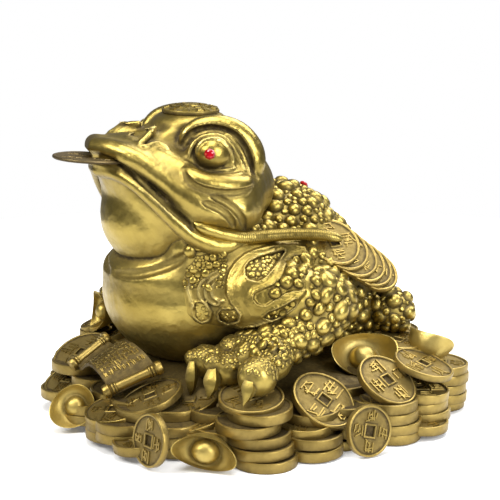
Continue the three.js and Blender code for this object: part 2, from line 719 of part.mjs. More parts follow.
// The origin goes under the middle of the whole.
const middle = new THREE.Box3().setFromObject(part).getCenter(new THREE.Vector3());
part.position.set(-middle.x, -middle.y, 0);
part.updateMatrixWorld(true);

export default part;
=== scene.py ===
"""A brass money toad on its hoard of coins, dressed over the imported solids.

The toad is carved as a field of distances on a grid of one half, mirrored and meshed; coins, ingots,
the scroll and the stones are meshes of their own. Everything is worked out in millimetres in the
toad's own frame and moved to the frame of the solids at the end.
"""
import math

import bpy
import numpy as np
import openvdb
from mathutils import Matrix, Vector


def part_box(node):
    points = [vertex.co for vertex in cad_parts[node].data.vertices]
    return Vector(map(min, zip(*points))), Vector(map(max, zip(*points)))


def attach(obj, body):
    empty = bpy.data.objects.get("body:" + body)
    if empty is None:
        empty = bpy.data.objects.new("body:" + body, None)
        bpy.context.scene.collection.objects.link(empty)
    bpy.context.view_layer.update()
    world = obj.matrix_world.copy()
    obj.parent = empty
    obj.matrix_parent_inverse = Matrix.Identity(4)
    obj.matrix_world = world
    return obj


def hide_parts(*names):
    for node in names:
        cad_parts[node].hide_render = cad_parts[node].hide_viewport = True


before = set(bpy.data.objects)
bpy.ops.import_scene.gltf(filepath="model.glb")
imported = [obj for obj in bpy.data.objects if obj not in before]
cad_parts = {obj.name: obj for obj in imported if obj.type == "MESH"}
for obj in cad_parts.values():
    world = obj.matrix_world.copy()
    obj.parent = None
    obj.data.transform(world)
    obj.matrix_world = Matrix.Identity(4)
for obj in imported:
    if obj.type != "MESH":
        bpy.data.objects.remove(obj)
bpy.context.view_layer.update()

MM = 0.001
CELL_HEAD = 0.66
CELL_BODY = 1.08
CELL_CARVING = 0.62
# Millimetres that stand for far away, and the room worked out round a shape
FAR = 40.0
PAD = 4.0


def box_middle(name):
    """The middle of a node's box, in millimetres."""
    low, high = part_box(name)
    return (np.array(low) + np.array(high)) / 2 / MM


# The mouth coin's centre in the toad's own frame gives the shift to the frame of the solids
MOUTH_COIN_CENTRE = np.array((0.0, -82.54, 121.64))
SHIFT = box_middle("mouth_coin") - MOUTH_COIN_CENTRE

# The photograph's camera, as a pinhole in the toad's frame
AZIMUTH, ELEVATION = 60.0, 13.0
DISTANCE = 720.0
FOCAL = 1500.0
PHOTO = 500.0
AIM = np.array((0.0, 0.0, 70.0))
RAY_SPAN = DISTANCE - 150, DISTANCE + 160
LEVEL, LEFT = np.array((0.0, 0.0, 1.0)), np.array((1.0, 0.0, 0.0))


def cos_sin(degrees):
    return math.cos(math.radians(degrees)), math.sin(math.radians(degrees))


def camera_axes():
    (ca, sa), (ce, se) = cos_sin(AZIMUTH), cos_sin(ELEVATION)
    back, right = np.array((sa * ce, -ca * ce, se)), np.array((ca, sa, 0.0))
    return AIM + back * DISTANCE, right, np.cross(back, right), back


EYE_POINT, RIGHT, UP, BACK = camera_axes()


def photo_of(x, y, z):
    """Photo pixels of points in the toad's frame."""
    dx, dy, dz = x - EYE_POINT[0], y - EYE_POINT[1], z - EYE_POINT[2]
    across, up, depth = (dx * way[0] + dy * way[1] + dz * way[2] for way in (RIGHT, UP, -BACK))
    return PHOTO / 2 + FOCAL * across / depth, PHOTO / 2 - FOCAL * up / depth


def ray_of(px):
    """Directions from the camera through photo pixels."""
    x, y = (px[:, :1] - PHOTO / 2) / FOCAL, (px[:, 1:] - PHOTO / 2) / FOCAL
    d = x * RIGHT - y * UP - BACK
    return d / np.linalg.norm(d, axis=-1, keepdims=True)


def on_plane(px, normal, far):
    """The spot that a photo pixel shows on a plane, so far along its normal."""
    d = ray_of(np.array([px], float))[0]
    return EYE_POINT + d * (far - normal @ EYE_POINT) / (normal @ d)


def seen(*rows):
    """Spots with a radius, from rows of photo pixel x and y, millimetres to the toad's left and radius."""
    return [(*on_plane((u, v), LEFT, x), radius) for u, v, x, radius in rows]


# Curves and directions


def smooth_path(rows, steps=6):
    """A Catmull-Rom path through rows of any length, such as x, y, z, radius."""
    rows = np.array(rows, float)
    p = np.vstack([2 * rows[0] - rows[1], rows, 2 * rows[-1] - rows[-2]])
    out = []
    for i in range(1, len(p) - 2):
        a, b, c, d = p[i - 1:i + 3]
        for t in np.linspace(0, 1, steps, endpoint=False):
            out.append(0.5 * (2 * b + (c - a) * t + (2 * a - 5 * b + 4 * c - d) * t * t
                              + (3 * b - a - 3 * c + d) * t ** 3))
    return np.array(out + [rows[-1]])


def even_path(rows, gap):
    """The same path with points about a gap apart."""
    p = smooth_path(rows, 12)
    run = np.concatenate([[0], np.cumsum(np.linalg.norm(np.diff(p[:, :3], axis=0), axis=1))])
    at = np.linspace(0, run[-1], max(2, int(run[-1] / gap) + 1))
    return np.stack([np.interp(at, run, column) for column in p.T], axis=1)


def turn_x(degrees):
    c, s = cos_sin(degrees)
    return np.array([[1, 0, 0], [0, c, -s], [0, s, c]])


def axes_of(axis, spin=0.0):
    """A matrix whose columns are two directions across an axis, turned about it, and the axis."""
    w = np.array(axis, float)
    w /= np.linalg.norm(w)
    u = np.cross(LEVEL if abs(w[2]) < 0.9 else LEFT, w)
    u /= np.linalg.norm(u)
    c, s = cos_sin(spin)
    return np.stack([u, np.cross(w, u), w], axis=1) @ np.array([[c, -s, 0], [s, c, 0], [0, 0, 1]])


def leaning(lean, towards):
    (ca, sa), (cb, sb) = cos_sin(lean), cos_sin(towards)
    return np.array((sa * cb, sa * sb, ca))


# The field


def folded(p):
    """Points moved to the half with x >= 0."""
    return np.column_stack([np.abs(p[:, 0]), p[:, 1:]])


class Field:
    """Distances, and how dark the skin is painted round creases, warts and claws as patina and painted shade,
    on a grid of the half with x >= 0.
    """

    def __init__(self, low, high, cell):
        self.low, self.cell = np.array(low, float), cell
        self.size = np.ceil((np.array(high) - self.low) / cell).astype(int) + 1
        self.high = self.low + cell * (self.size - 1)
        self.d = np.full(self.size, FAR, np.float32)
        self.soil_and_shade = np.zeros(self.size, np.float32)

    def window(self, low, high):
        """The slices of the grid between two corners, and the coordinates there."""
        a = np.clip(np.floor((low - self.low) / self.cell).astype(int), 0, self.size)
        b = np.clip(np.ceil((high - self.low) / self.cell).astype(int) + 1, 0, self.size)
        x, y, z = [(self.low[i] + self.cell * np.arange(a[i], b[i])).astype(np.float32) for i in range(3)]
        return tuple(map(slice, a, b)), (x[:, None, None], y[:, None], z)

    def add(self, shape, soft=0.0, way=1):
        """Adds a shape, or cuts it away where way is -1, blended over a width."""
        low, high, distance = shape
        where, spots = self.window(low - soft - PAD, high + soft + PAD)
        new, old = distance(*spots), way * self.d[where]
        if soft:
            h = np.clip(0.5 + 0.5 * (new - old) / soft, 0, 1)
            self.d[where] = way * (new * (1 - h) + old * h - soft * h * (1 - h))
        else:
            self.d[where] = way * np.minimum(old, new)

    def stain_and_shade(self, rows, reach, share=1.0):
        """Paints the skin darker round rows of x, y, z, radius, as far as a reach beyond the radius: patina
        and painted shade.
        """
        for *spot, r in rows:
            where, (x, y, z) = self.window(np.array(spot) - r - reach, np.array(spot) + r + reach)
            away = np.sqrt((x - spot[0]) ** 2 + (y - spot[1]) ** 2 + (z - spot[2]) ** 2)
            self.soil_and_shade[where] = np.maximum(self.soil_and_shade[where], share * np.clip(1 - (away - r) / reach, 0, 1))

    def at(self, p, grid=None):
        """Distances at points, smoothly between the grid's, or another grid's values."""
        grid = self.d if grid is None else grid
        q = np.clip((folded(p) - self.low) / self.cell, 0, self.size - 1.001)
        i = q.astype(int)
        f = q - i
        total = 0.0
        for dx, dy, dz in np.ndindex(2, 2, 2):
            share = np.abs(1 - dx - f[:, 0]) * np.abs(1 - dy - f[:, 1]) * np.abs(1 - dz - f[:, 2])
            total = total + share * grid[i[:, 0] + dx, i[:, 1] + dy, i[:, 2] + dz]
        return total

    def slope(self, p):
        """Outward directions at points."""
        g = np.stack([self.at(p + step) - self.at(p - step) for step in self.cell * np.eye(3)], axis=1)
        return g / np.maximum(np.linalg.norm(g, axis=1, keepdims=True), 1e-6)

    def settle(self, p, times=4):
        """Moves points to the surface along the slope."""
        p = np.array(p, float)
        for _ in range(times):
            p = p - self.slope(p) * np.clip(self.at(p), -2, 2)[:, None]
        return p

    def hits(self, px):
        """Where the rays of photo pixels first meet the surface; misses are left out."""
        d = ray_of(px)
        steps = np.arange(*RAY_SPAN, self.cell * 0.6)
        p = EYE_POINT + d[:, None, :] * steps[None, :, None]
        inside = np.all((p > self.low) & (p < self.high), axis=2)
        value = np.where(inside, self.at(p.reshape(-1, 3)).reshape(inside.shape), FAR)
        first = np.maximum(np.argmax(value < 0, axis=1), 1)
        rows = np.arange(len(px))
        a, b = value[rows, first - 1], value[rows, first]
        t = np.clip(a / np.maximum(a - b, 1e-6), 0, 1)
        s = steps[first - 1] + t * (steps[first] - steps[first - 1])
        return (EYE_POINT + d * s[:, None])[(value < 0).any(axis=1)]

    def holds(self, p):
        """Whether the grid reaches to points."""
        return np.all((folded(p) >= self.low) & (folded(p) <= self.high), axis=1)

    def near_surface(self):
        i, j, k = np.nonzero(np.abs(self.d) < self.cell * 0.55)
        return self.low + self.cell * np.column_stack([i, j, k])

    def mesh(self, name, shift):
        """The surface and its mirror image, moved by a shift if it is a piece of its own."""
        joined = self.low[0] == 0
        grid = openvdb.FloatGrid()
        grid.background = FAR
        grid.copyFromArray(np.concatenate([self.d[:0:-1], self.d]) if joined else self.d)
        spots, triangles, quads = grid.convertToPolygons(isovalue=0.0, adaptivity=0.0)
        spots = np.array(spots) * self.cell + (-self.high[0] if joined else self.low[0], *self.low[1:])
        faces = [tuple(face[::-1]) for face in quads.tolist() + triangles.tolist()]
        if not joined:
            faces += [tuple(i + len(spots) for i in reversed(face)) for face in faces]
            spots = np.concatenate([spots, spots * (-1, 1, 1) + shift])
        obj = new_object(name, spots, faces)
        obj.data.shade_smooth()
        return obj


def egg(centre, size, turn=np.eye(3)):
    """An ellipsoid: its corners and a rough distance to it."""
    c, r, m = np.array(centre, float), np.array(size, float), turn
    reach = np.sqrt(((m * r) ** 2).sum(1))

    def distance(x, y, z):
        x, y, z = x - c[0], y - c[1], z - c[2]
        q = [m[0, i] * x + m[1, i] * y + m[2, i] * z for i in range(3)]
        k0 = np.sqrt((q[0] / r[0]) ** 2 + (q[1] / r[1]) ** 2 + (q[2] / r[2]) ** 2)
        k1 = np.sqrt((q[0] / r[0] ** 2) ** 2 + (q[1] / r[1] ** 2) ** 2 + (q[2] / r[2] ** 2) ** 2)
        return (k0 * (k0 - 1) / np.maximum(k1, 1e-6)).astype(np.float32)

    return c - reach, c + reach, distance


def tube(rows, steps=4):
    """A mass along rows of x, y, z, radius."""
    q = smooth_path(rows, steps)

    def distance(x, y, z):
        best = np.float32(1e9)
        for a, b in zip(q[:-1], q[1:]):
            v = b[:3] - a[:3]
            t = ((x - a[0]) * v[0] + (y - a[1]) * v[1] + (z - a[2]) * v[2]) / max(v @ v, 1e-9)
            t = np.clip(t, 0, 1)
            away = (x - a[0] - t * v[0]) ** 2 + (y - a[1] - t * v[1]) ** 2 + (z - a[2] - t * v[2]) ** 2
            best = np.minimum(best, np.sqrt(away) - (a[3] + t * (b[3] - a[3])))
        return best.astype(np.float32)

    return (q[:, :3] - q[:, 3:]).min(0), (q[:, :3] + q[:, 3:]).max(0), distance


# Carving lines and plates that are read off the photograph


def carve_line(field, px_path, radius, height, soft, ends, way):
    """Raises a line of the photograph, or sinks it where way is -1. It tapers towards its ends."""
    p = field.hits(even_path(px_path, 1.6))
    share = ends + (1 - ends) * np.clip(np.sin(math.pi * np.linspace(0, 1, len(p))) * 2.2, 0, 1)
    size = radius * share
    rows = np.column_stack([p + field.slope(p) * (way * (height * share - size))[:, None], size])
    for pair in zip(rows[:-1], rows[1:]):
        field.add(tube(pair, 1), soft, way)
    return p, size


def ridge(field, px_path, radius, rise, soft, ends=0.5):
    carve_line(field, px_path, radius, rise, soft, ends, 1)


def groove(field, px_path, radius, depth, soft, ends=0.3):
    p, size = carve_line(field, px_path, radius, depth, soft, ends, -1)
    # The groove's floor is painted darker: patina and painted shade in the crease.
    field.stain_and_shade(np.column_stack([p, 0.35 * size]), radius)


def outline_distance(u, v, outline):
    """Distances to a closed outline in photo pixels, negative inside."""
    p = np.array(outline, float)
    best, inside = np.full(u.shape, 1e9), np.zeros(u.shape, bool)
    for (ax, ay), (bx, by) in zip(p, np.roll(p, -1, axis=0)):
        dx, dy = bx - ax, by - ay
        t = np.clip(((u - ax) * dx + (v - ay) * dy) / max(dx * dx + dy * dy, 1e-9), 0, 1)
        best = np.minimum(best, (u - ax - t * dx) ** 2 + (v - ay - t * dy) ** 2)
        inside ^= ((ay > v) != (by > v)) & (u < dx * (v - ay) / (dy if dy else 1e-9) + ax)
    return np.where(inside, -1, 1) * np.sqrt(best)


def emboss(field, outline, profile, reach, band=6.0):
    """Raises the surface by its distance inside a photo outline: a profile of pixels and millimetres."""
    where, (x, y, z) = field.window(*reach)
    d = field.d[where]
    near = np.abs(d) < band
    i, j, k = np.nonzero(near)
    inner = -outline_distance(*photo_of(x[i, 0, 0], y[j, 0], z[k]), outline)
    d[near] -= np.interp(inner, *np.array(profile, float).T).astype(np.float32)


# Meshes


def linked(name, data):
    """A new object in the scene."""
    obj = bpy.data.objects.new(name, data)
    bpy.context.scene.collection.objects.link(obj)
    return obj


def new_object(name, spots, faces):
    mesh = bpy.data.meshes.new(name)
    mesh.from_pydata(((np.array(spots, float) + SHIFT) * MM).tolist(), [], faces)
    return linked(name, mesh)


def paint(obj, name, values):
    layer = obj.data.attributes.new(name, "FLOAT", "POINT")
    layer.data.foreach_set("value", np.asarray(values, np.float32))


class Heap:
    """Vertices, faces and a tone of dark patina and painted shade for each vertex, gathered from several
    shapes.
    """

    def __init__(self):
        self.spots, self.faces, self.dark, self.count = [], [], [], 0

    def add(self, shape, turn=np.eye(3), move=(0, 0, 0)):
        spots, faces, dark = shape
        self.spots.append(np.asarray(spots, float) @ turn.T + move)
        self.faces += [tuple(i + self.count for i in face) for face in faces]
        self.dark.append(np.broadcast_to(dark, len(spots)))
        self.count += len(spots)

    def lay(self, shapes, lean, towards, spin, place):
        """Adds shapes that lean towards a compass direction."""
        for shape in shapes:
            self.add(shape, axes_of(leaning(lean, towards), spin), place)

    def mirror(self, shift=(0, 0, 0)):
        """Adds the same shapes on the other side."""
        faces = [tuple(reversed(face)) for face in self.faces]
        self.add((np.concatenate(self.spots) * (-1, 1, 1) + shift, faces, np.concatenate(self.dark)))
        return self

    def object(self, name, sharp=38):
        """The mesh, shaded smooth but for edges sharper than an angle."""
        obj = new_object(name, np.concatenate(self.spots), self.faces)
        # The tone is painted into the mesh as patina and painted shade.
        paint(obj, "patina_and_shade", np.concatenate(self.dark))
        obj.data.shade_smooth()
        obj.data.set_sharp_from_angle(angle=math.radians(sharp))
        return obj


def ring_faces(rings, count, closed):
    """Quads between rings of so many vertices. The last ring joins the first, or fans shut both."""
    faces = []
    start, end, last = rings * count, rings * count + 1, (rings - 1) * count
    for k in range(count):
        n = (k + 1) % count
        for i in range(rings if closed else rings - 1):
            low, high = i * count, (i + 1) % rings * count
            faces.append((low + k, low + n, high + n, high + k))
        if not closed:
            faces += [(start, n, k), (end, last + k, last + n)]
    return faces


def skin(rings, tones, tips=(), tip_tones=()):
    """A shape from rings of vertices with tones, shut by a tip at each end or else joined round."""
    count = len(rings[0])
    dark = [np.broadcast_to(tone, count) for tone in tones] + [np.array(tip_tones)]
    spots = np.concatenate([*rings, tips] if len(tips) else rings)
    return spots, ring_faces(len(rings), count, not len(tips)), np.concatenate(dark)


def circle(count, start=0.0):
    return 2 * math.pi * (np.arange(count) + start) / count


def ring(radius, z, angle):
    return np.column_stack([radius * np.cos(angle), radius * np.sin(angle), np.broadcast_to(z, len(angle))])


def lathe(rows, low, high, tip_tones, angle, swell=1.0):
    """A turned shape from rows of radius, height and tone, shut at two heights on its axis."""
    rings = [ring(r * swell, z, angle) for r, z, _ in rows]
    return skin(rings, [row[2] for row in rows], [(0, 0, low), (0, 0, high)], tip_tones)


BLOCK_FACES = [(0, 1, 3, 2), (4, 6, 7, 5), (0, 4, 5, 1), (1, 5, 7, 3), (3, 7, 6, 2), (2, 6, 4, 0)]


def stroke(a, b, up, half, spread, low, high, tones):
    """A raised stroke with sloping sides from a to b, between two heights."""
    along = (b - a) / max(np.linalg.norm(b - a), 1e-6)
    side = np.cross(up, along)
    spots = [end + along * way * grow + side * k * (half + grow) + up * z
             for grow, z in ((spread, low), (0, high)) for end, way in ((a, -1), (b, 1)) for k in (-1, 1)]
    return spots, BLOCK_FACES, np.repeat(tones, 4)


# Coins

COIN_THICK = 4.6
LEANING_THICK = 3.4
COIN_HOLE = 2.3


def own_tone(seed, most):
    """How much darker a coin is than others, by its number."""
    return most * (seed * 0.618 % 1)


def coin_rows(radius, top, inner, floor, frame_edge, hole, pierced):
    """The section of a coin: radius, how far it is square rather than round, height and tone. The tone is
    patina in the sunken field and painted shade on the lower side and in the corners at the foot of the rim
    and the frame.
    """
    rows = [
        (radius - 0.1, 0, -top + 0.35, 0.8), (radius, 0, -top + 0.7, 0.45), (radius, 0, 0, 0.2),
        (radius, 0, top - 0.45, 0.05), (radius - 0.12, 0, top - 0.15, 0), (radius - 0.4, 0, top, 0),
        (inner + 0.25, 0, top, 0), (inner, 0, top - 0.14, 0.3), (inner - 0.16, 0, floor + 0.06, 1),
        (inner - 0.6, 0, floor, 0.75), (inner - 1.6, 0, floor, 0.45),
        (hole + (inner - hole) * 0.5, 0.4, floor, 0.4), (frame_edge + 0.9, 1, floor, 0.5),
        (frame_edge + 0.18, 1, floor + 0.05, 1), (frame_edge, 1, top - 0.2, 0.3),
        (frame_edge - 0.22, 1, top - 0.06, 0), (hole + 0.2, 1, top - 0.06, 0), (hole, 1, top - 0.25, 0.5),
    ]
    if pierced:
        return rows + [(hole, 1, -top, 0.9), (hole + 0.3, 1, -top, 0.5), (radius - 0.5, 0, -top, 0.3)]
    return rows + [(hole - 0.1, 1, floor - 0.7, 1), (hole * 0.5, 1, floor - 0.75, 1)]


def coin_shape(radius, seed, thick=COIN_THICK, hole=COIN_HOLE, rim=1.1, relief=0.65, pierced=False):
    """A cast coin: raised rim, sunken field and a raised frame round a square hole."""
    rng = np.random.default_rng(seed)
    top, floor, inner, frame_edge = thick / 2, thick / 2 - relief, radius - rim, hole + 0.8
    rows = coin_rows(radius, top, inner, floor, frame_edge, hole, pierced)
    angle = circle(48)
    square = 1 / np.maximum(np.abs(np.cos(angle)), np.abs(np.sin(angle)))
    uneven = 0.007 * np.sin(3 * angle + seed) + 0.005 * np.sin(5 * angle + 2.1 * seed)
    rings = [ring(r * (1 + share * (square - 1)) * (1 + uneven * (1 - share)),
                  z + 0.10 * np.sin(2 * angle + 1.7 * seed) * (r / radius), angle) for r, share, z, _ in rows]
    tones = [min(1, row[3] + own_tone(seed, 0.22)) for row in rows]
    tips = ((), ()) if pierced else ([(0, 0, -top), (0, 0, floor - 0.75)], (0.4, 1))
    shapes = [skin(rings, tones, *tips)]
    gap = (inner - frame_edge) / 2
    for turn in range(0, 360, 90):
        x, y = (frame_edge + gap) * np.array(cos_sin(turn))
        shapes += strokes(x, y, gap * 1.6, gap * 1.7, floor, relief * 0.95, rng)
    return shapes


def strokes(cx, cy, wide, tall, low, rise, rng):
    """A cluster of short strokes that reads as worn casting and spells nothing."""
    lines, ends = rng.integers(3, 5), []
    for k in range(lines):
        y = cy + tall * (0.44 - 0.88 * (k + 0.5 * rng.random()) / lines)
        half = wide * rng.uniform(0.2, 0.46)
        x = cx + wide * rng.uniform(-0.08, 0.08)
        ends.append(((x - half, y, 0), (x + half, y + rng.uniform(-0.3, 0.3), 0), rise))
    for _ in range(rng.integers(2, 5)):
        x, y = cx + wide * rng.uniform(-0.4, 0.4), cy + tall * rng.uniform(-0.22, 0.25)
        dx, dy = wide * rng.uniform(-0.2, 0.2), tall * rng.uniform(0.14, 0.32)
        ends.append(((x - dx, y - dy, 0), (x + dx, y + dy, 0), rise * 0.95))
    return [stroke(np.array(a), np.array(b), LEVEL, 0.25, 0.22, low - 0.3, low + top, (0.8, 0))
            for a, b, top in ends]


def stack_coin(heap, place, radius, seed, lean=0.0, towards=0.0, count=36):
    """A plain coin of a stack, of which only the rim shows."""
    top, angle = COIN_THICK / 2, circle(count)
    uneven = 1 + 0.008 * np.sin(3 * angle + seed) + 0.004 * np.sin(7 * angle + seed)
    # Tone: darker towards the bottom and at the inner edge of the top, painted shade of the gaps between
    # stacked coins.
    rows = [
        (radius - 0.5, -top, 0.95), (radius - 0.14, -top + 0.12, 0.8), (radius, -top + 0.45, 0.4),
        (radius, top - 0.45, 0.05), (radius - 0.12, top - 0.13, 0), (radius - 0.4, top, 0.05),
        (radius - 1.1, top, 0.3), (radius - 1.35, top - 0.45, 0.9),
    ]
    spots, faces, dark = lathe(rows, -top, top - 0.45, (0.7, 0.7), angle, uneven)
    dark = np.clip(dark + own_tone(seed, 0.3), 0, 1)
    heap.lay([(spots, faces, dark)], lean, towards, 40 * seed, place)


# Ingots

# Distance from the middle and height, as shares of half the length, and tone: painted shade, darker under the
# hull and in the crease round the ball
INGOT_ROWS = [
    (0.3, -0.5, 0.4), (0.44, -0.49, 0.3), (0.6, -0.4, 0.15), (0.76, -0.22, 0.1), (0.88, -0.03, 0.05),
    (0.96, 0.13, 0), (1.0, 0.22, 0), (1.0, 0.27, 0), (0.97, 0.285, 0), (0.93, 0.255, 0), (0.85, 0.16, 0.05),
    (0.74, 0.06, 0.1), (0.62, 0.0, 0.2), (0.5, -0.03, 0.7), (0.44, 0.0, 0.9), (0.41, 0.08, 0.3),
    (0.37, 0.17, 0.05), (0.31, 0.25, 0), (0.22, 0.31, 0), (0.11, 0.34, 0),
]


def ingot_shape(length, wide=0.68, wings=0.3):
    """A boat-shaped ingot with a ball in its hollow; its wings are how far the ends rise."""
    angle, half, rings = circle(48), length / 2, []
    c, s = np.cos(angle), np.sin(angle)
    for r, z, _ in INGOT_ROWS:
        outer = np.clip((r - 0.5) / 0.5, 0, 1)
        side = wide + (1 - wide) * (1 - outer) * 0.7
        up = wings * np.abs(c) ** 2.4 * outer ** 1.3 - 0.06 * np.abs(s) ** 2 * outer
        rings.append(np.column_stack([r * half * c, r * half * s * side, (z + up) * half]))
    return [skin(rings, [row[2] for row in INGOT_ROWS], [(0, 0, -0.5 * half), (0, 0, 0.35 * half)], (0.4, 0))]


# The hoard

HOARD_MIDDLE = np.array((4.5, 0.0, 0.0))
HOARD_REACH = 102.0

# Coins seen in the photograph: pixel, height of the middle, lean, compass, diameter, coins below
SEEN_COINS = {
    "behind_scroll": ((82, 354), 25, 27, -70, 28, 1),
    "left_low": ((70, 380), 13, 24, -80, 25, 1),
    "left_front": ((114, 411), 14, 12, -70, 26, 2),
    "front_large": ((151, 398), 20, 20, -101, 29.5, 1),
    "front_upright": ((151, 440.5), 12.2, 80, -82, 23, 0),
    "front_flat": ((139, 442.5), 6, 6, -90, 23, 0),
    "below_claw": ((190, 401), 18, 16, -75, 27, 3),
    "front_low": ((198.4, 418.5), 13.5, 17, -95, 28, 2),
    "under_claw": ((251, 398.5), 25, 12, -30, 28.5, 0),
    "side_large": ((323.3, 401.2), 21, 38, 11, 30, 0),
    "side_low": ((304, 424), 12.4, 5, -30, 26, 0),
    "side_upright": ((368.3, 430.7), 11.2, 79, 2, 22.6, 0),
    "rear_leaning": ((386.8, 381.3), 25, 35, 14, 28.5, 0),
    "rear_large": ((423, 365.5), 27.5, 17, 37, 28, 0),
    "rear_stack": ((440, 364.8), 20.5, 3, 40, 26, 3),
    "rear_middle": ((420, 391), 16.5, 5, 40, 26, 2),
    "rear_flat": ((419, 422), 4.6, 4, 40, 26, 0),
    "rear_inner": ((397, 343), 31, 5, 30, 26, 1),
    "far_small": ((96, 323.5), 32, 22, -120, 15.5, 1),
}
# Single coins of the stack under the claw: pixel and height of the middle
CLAW_STACK = [
    ((265, 457.3), 2.3), ((261, 446), 6.9), ((258, 433.8), 11.5), ((248, 423.3), 16.1), ((260, 410.5), 20.7),
]
# Stacks below coins: pixel and height of the middle of the coin on top, coins, diameter
SEEN_STACKS = {
    "side": ((312, 436), 7.6, 2, 27),
    "side_inner": ((292, 432), 8.6, 2, 26),
    "rear": ((391, 402), 16.2, 4, 26),
    "rear_outer": ((376, 410), 12, 3, 26),
    "inner": ((340, 385), 19.5, 3, 27),
    "front": ((176, 424), 12, 3, 26),
    "front_inner": ((222, 428), 11, 3, 26),
    "left": ((124, 423), 11, 3, 26),
    "left_rim": ((88, 404), 9.5, 2, 26),
}
# Ingots seen: pixel, height of the middle, lean, compass, turn about the axis, length, width, wings
SEEN_INGOTS = {
    "left": ((75, 406), 11, 72, -40, 38, 22, 0.84, 0.3),
    "front": ((205.5, 451.5), 8.2, 84, -34, -13, 28, 0.48, 0.3),
    "side": ((363.5, 358), 28, 44, -30, 6, 30.5, 0.74, 0.3),
    "rear": ((427.5, 345.5), 31, 42, 100, 0, 24, 0.8, 0.2),
    "far": ((103, 311), 40, 82, -85, 90, 20, 0.6, 0.3),
}
# Stacks round the rim that the photograph doesn't show: turn, coins in the stack
HIDDEN_STACKS = [
    (48, 3), (64, 3), (80, 3), (97, 4), (114, 3), (131, 5), (148, 3), (165, 4), (182, 3), (199, 5), (216, 3),
    (233, 4), (247, 3),
]
# Ingots there: turn, share of the hoard's reach, height, lean, turn about the axis
HIDDEN_INGOTS = [
    (88, 0.74, 31, 34, 20), (122, 0.9, 18, 50, 70), (156, 0.72, 34, 28, 40), (190, 0.72, 33, 34, 110),
    (206, 0.84, 20, 46, 10),
]


# Stacks within the rim, and coins in each
INNER_STACKS, INNER_LEVELS = 26, 4
# Circuits of coins on the slope between the rim and the toad: share of the reach, height, lean, coins
SLOPE_CIRCUITS = [(0.70, 25.5, 20, 17), (0.56, 28.5, 9, 13)]
# The side of the hoard that the photograph shows begins at this turn and spans so many degrees
SEEN_FROM, SEEN_SPAN = 245, 165


def pile_below(heap, place, coins, diameter, rng):
    """Coins below a coin, each a little out of line."""
    for k in range(coins):
        z = place[2] - COIN_THICK * (k + 1)
        if z < COIN_THICK / 2:
            return
        shift = rng.uniform(-1.3, 1.3, 2)
        stack_coin(heap, (*(place[:2] + shift), z), diameter / 2, int(rng.integers(1, 99)),
                   rng.uniform(0, 2.0), rng.uniform(0, 360))


def seen_hoard(coins, ingots, rng):
    for seed, (px, z, lean, towards, diameter, below) in enumerate(SEEN_COINS.values()):
        place = on_plane(px, LEVEL, z)
        coin = coin_shape(diameter / 2, seed + 3, LEANING_THICK if lean > 8 else COIN_THICK)
        coins.lay(coin, lean, towards, 23 * seed, place)
        pile_below(coins, place, below, diameter, rng)
    for k, (px, z) in enumerate(CLAW_STACK):
        stack_coin(coins, on_plane(px, LEVEL, z), 14.2, 9 + k, rng.uniform(0.5, 2.5), rng.uniform(-90, 30))
    for px, z, count, diameter in SEEN_STACKS.values():
        pile_below(coins, on_plane(px, LEVEL, z) + COIN_THICK * LEVEL, count, diameter, rng)
    for px, z, lean, towards, spin, length, wide, wings in SEEN_INGOTS.values():
        ingots.lay(ingot_shape(length, wide, wings), lean, towards, spin, on_plane(px, LEVEL, z))


def on_hoard(turn, share, z):
    c, s = cos_sin(turn)
    return HOARD_MIDDLE + np.array((c, s, 0)) * HOARD_REACH * share + LEVEL * z


def hidden_hoard(coins, ingots, rng):
    """The right side and the back, in keeping with what shows."""
    for seed, (turn, count) in enumerate(HIDDEN_STACKS):
        front = turn > 205
        rim = on_hoard(turn, 0.865 + 0.012 * math.sin(seed * 2.3) - (0.035 if front else 0), 0)
        for level in range(count):
            spot = rim + (*rng.uniform(-1.2, 1.2, 2), COIN_THICK * (level + 0.5))
            if level < count - 1:
                stack_coin(coins, spot, 13.4, seed * 7 + level)
            else:
                coins.lay(coin_shape(13.5, seed * 11 + 5), 3, turn, 31 * seed, spot)
        if seed > 1:
            share, lift = (0.74, 9) if front else (0.80, 14)
            place = on_hoard(turn + 8, share, COIN_THICK * count * 0.55 + lift)
            coins.lay(coin_shape(14.2, seed * 5 + 2), 34 if count < 4 else 16, turn + 6, 47 * seed, place)
    for turn, share, z, lean, spin in HIDDEN_INGOTS:
        ingots.lay(ingot_shape(27), lean, turn, spin, on_hoard(turn, share, z))


def inner_hoard(coins, rng):
    for k in range(INNER_STACKS):
        for level in range(INNER_LEVELS):
            turn, share = 360 / INNER_STACKS * k + rng.uniform(-2, 2), 0.775 + rng.uniform(-0.015, 0.015)
            place = on_hoard(turn, share, COIN_THICK * (level + 0.5))
            seed = INNER_LEVELS * k + level
            stack_coin(coins, place, 13, seed, rng.uniform(0, 2), rng.uniform(0, 360), 20)
    for circuit, (share, z, lean, count) in enumerate(SLOPE_CIRCUITS):
        for k in range(count):
            turn = 360 * (k + 0.5 * circuit) / count + rng.uniform(-5, 5)
            if (turn - SEEN_FROM) % 360 < SEEN_SPAN:
                continue
            place = on_hoard(turn, share + rng.uniform(-0.02, 0.02), z + rng.uniform(-1, 1))
            coins.lay(coin_shape(13.6, 200 + 20 * circuit + k), lean + rng.uniform(-6, 6),
                      turn + rng.uniform(-30, 30), 53 * k, place)


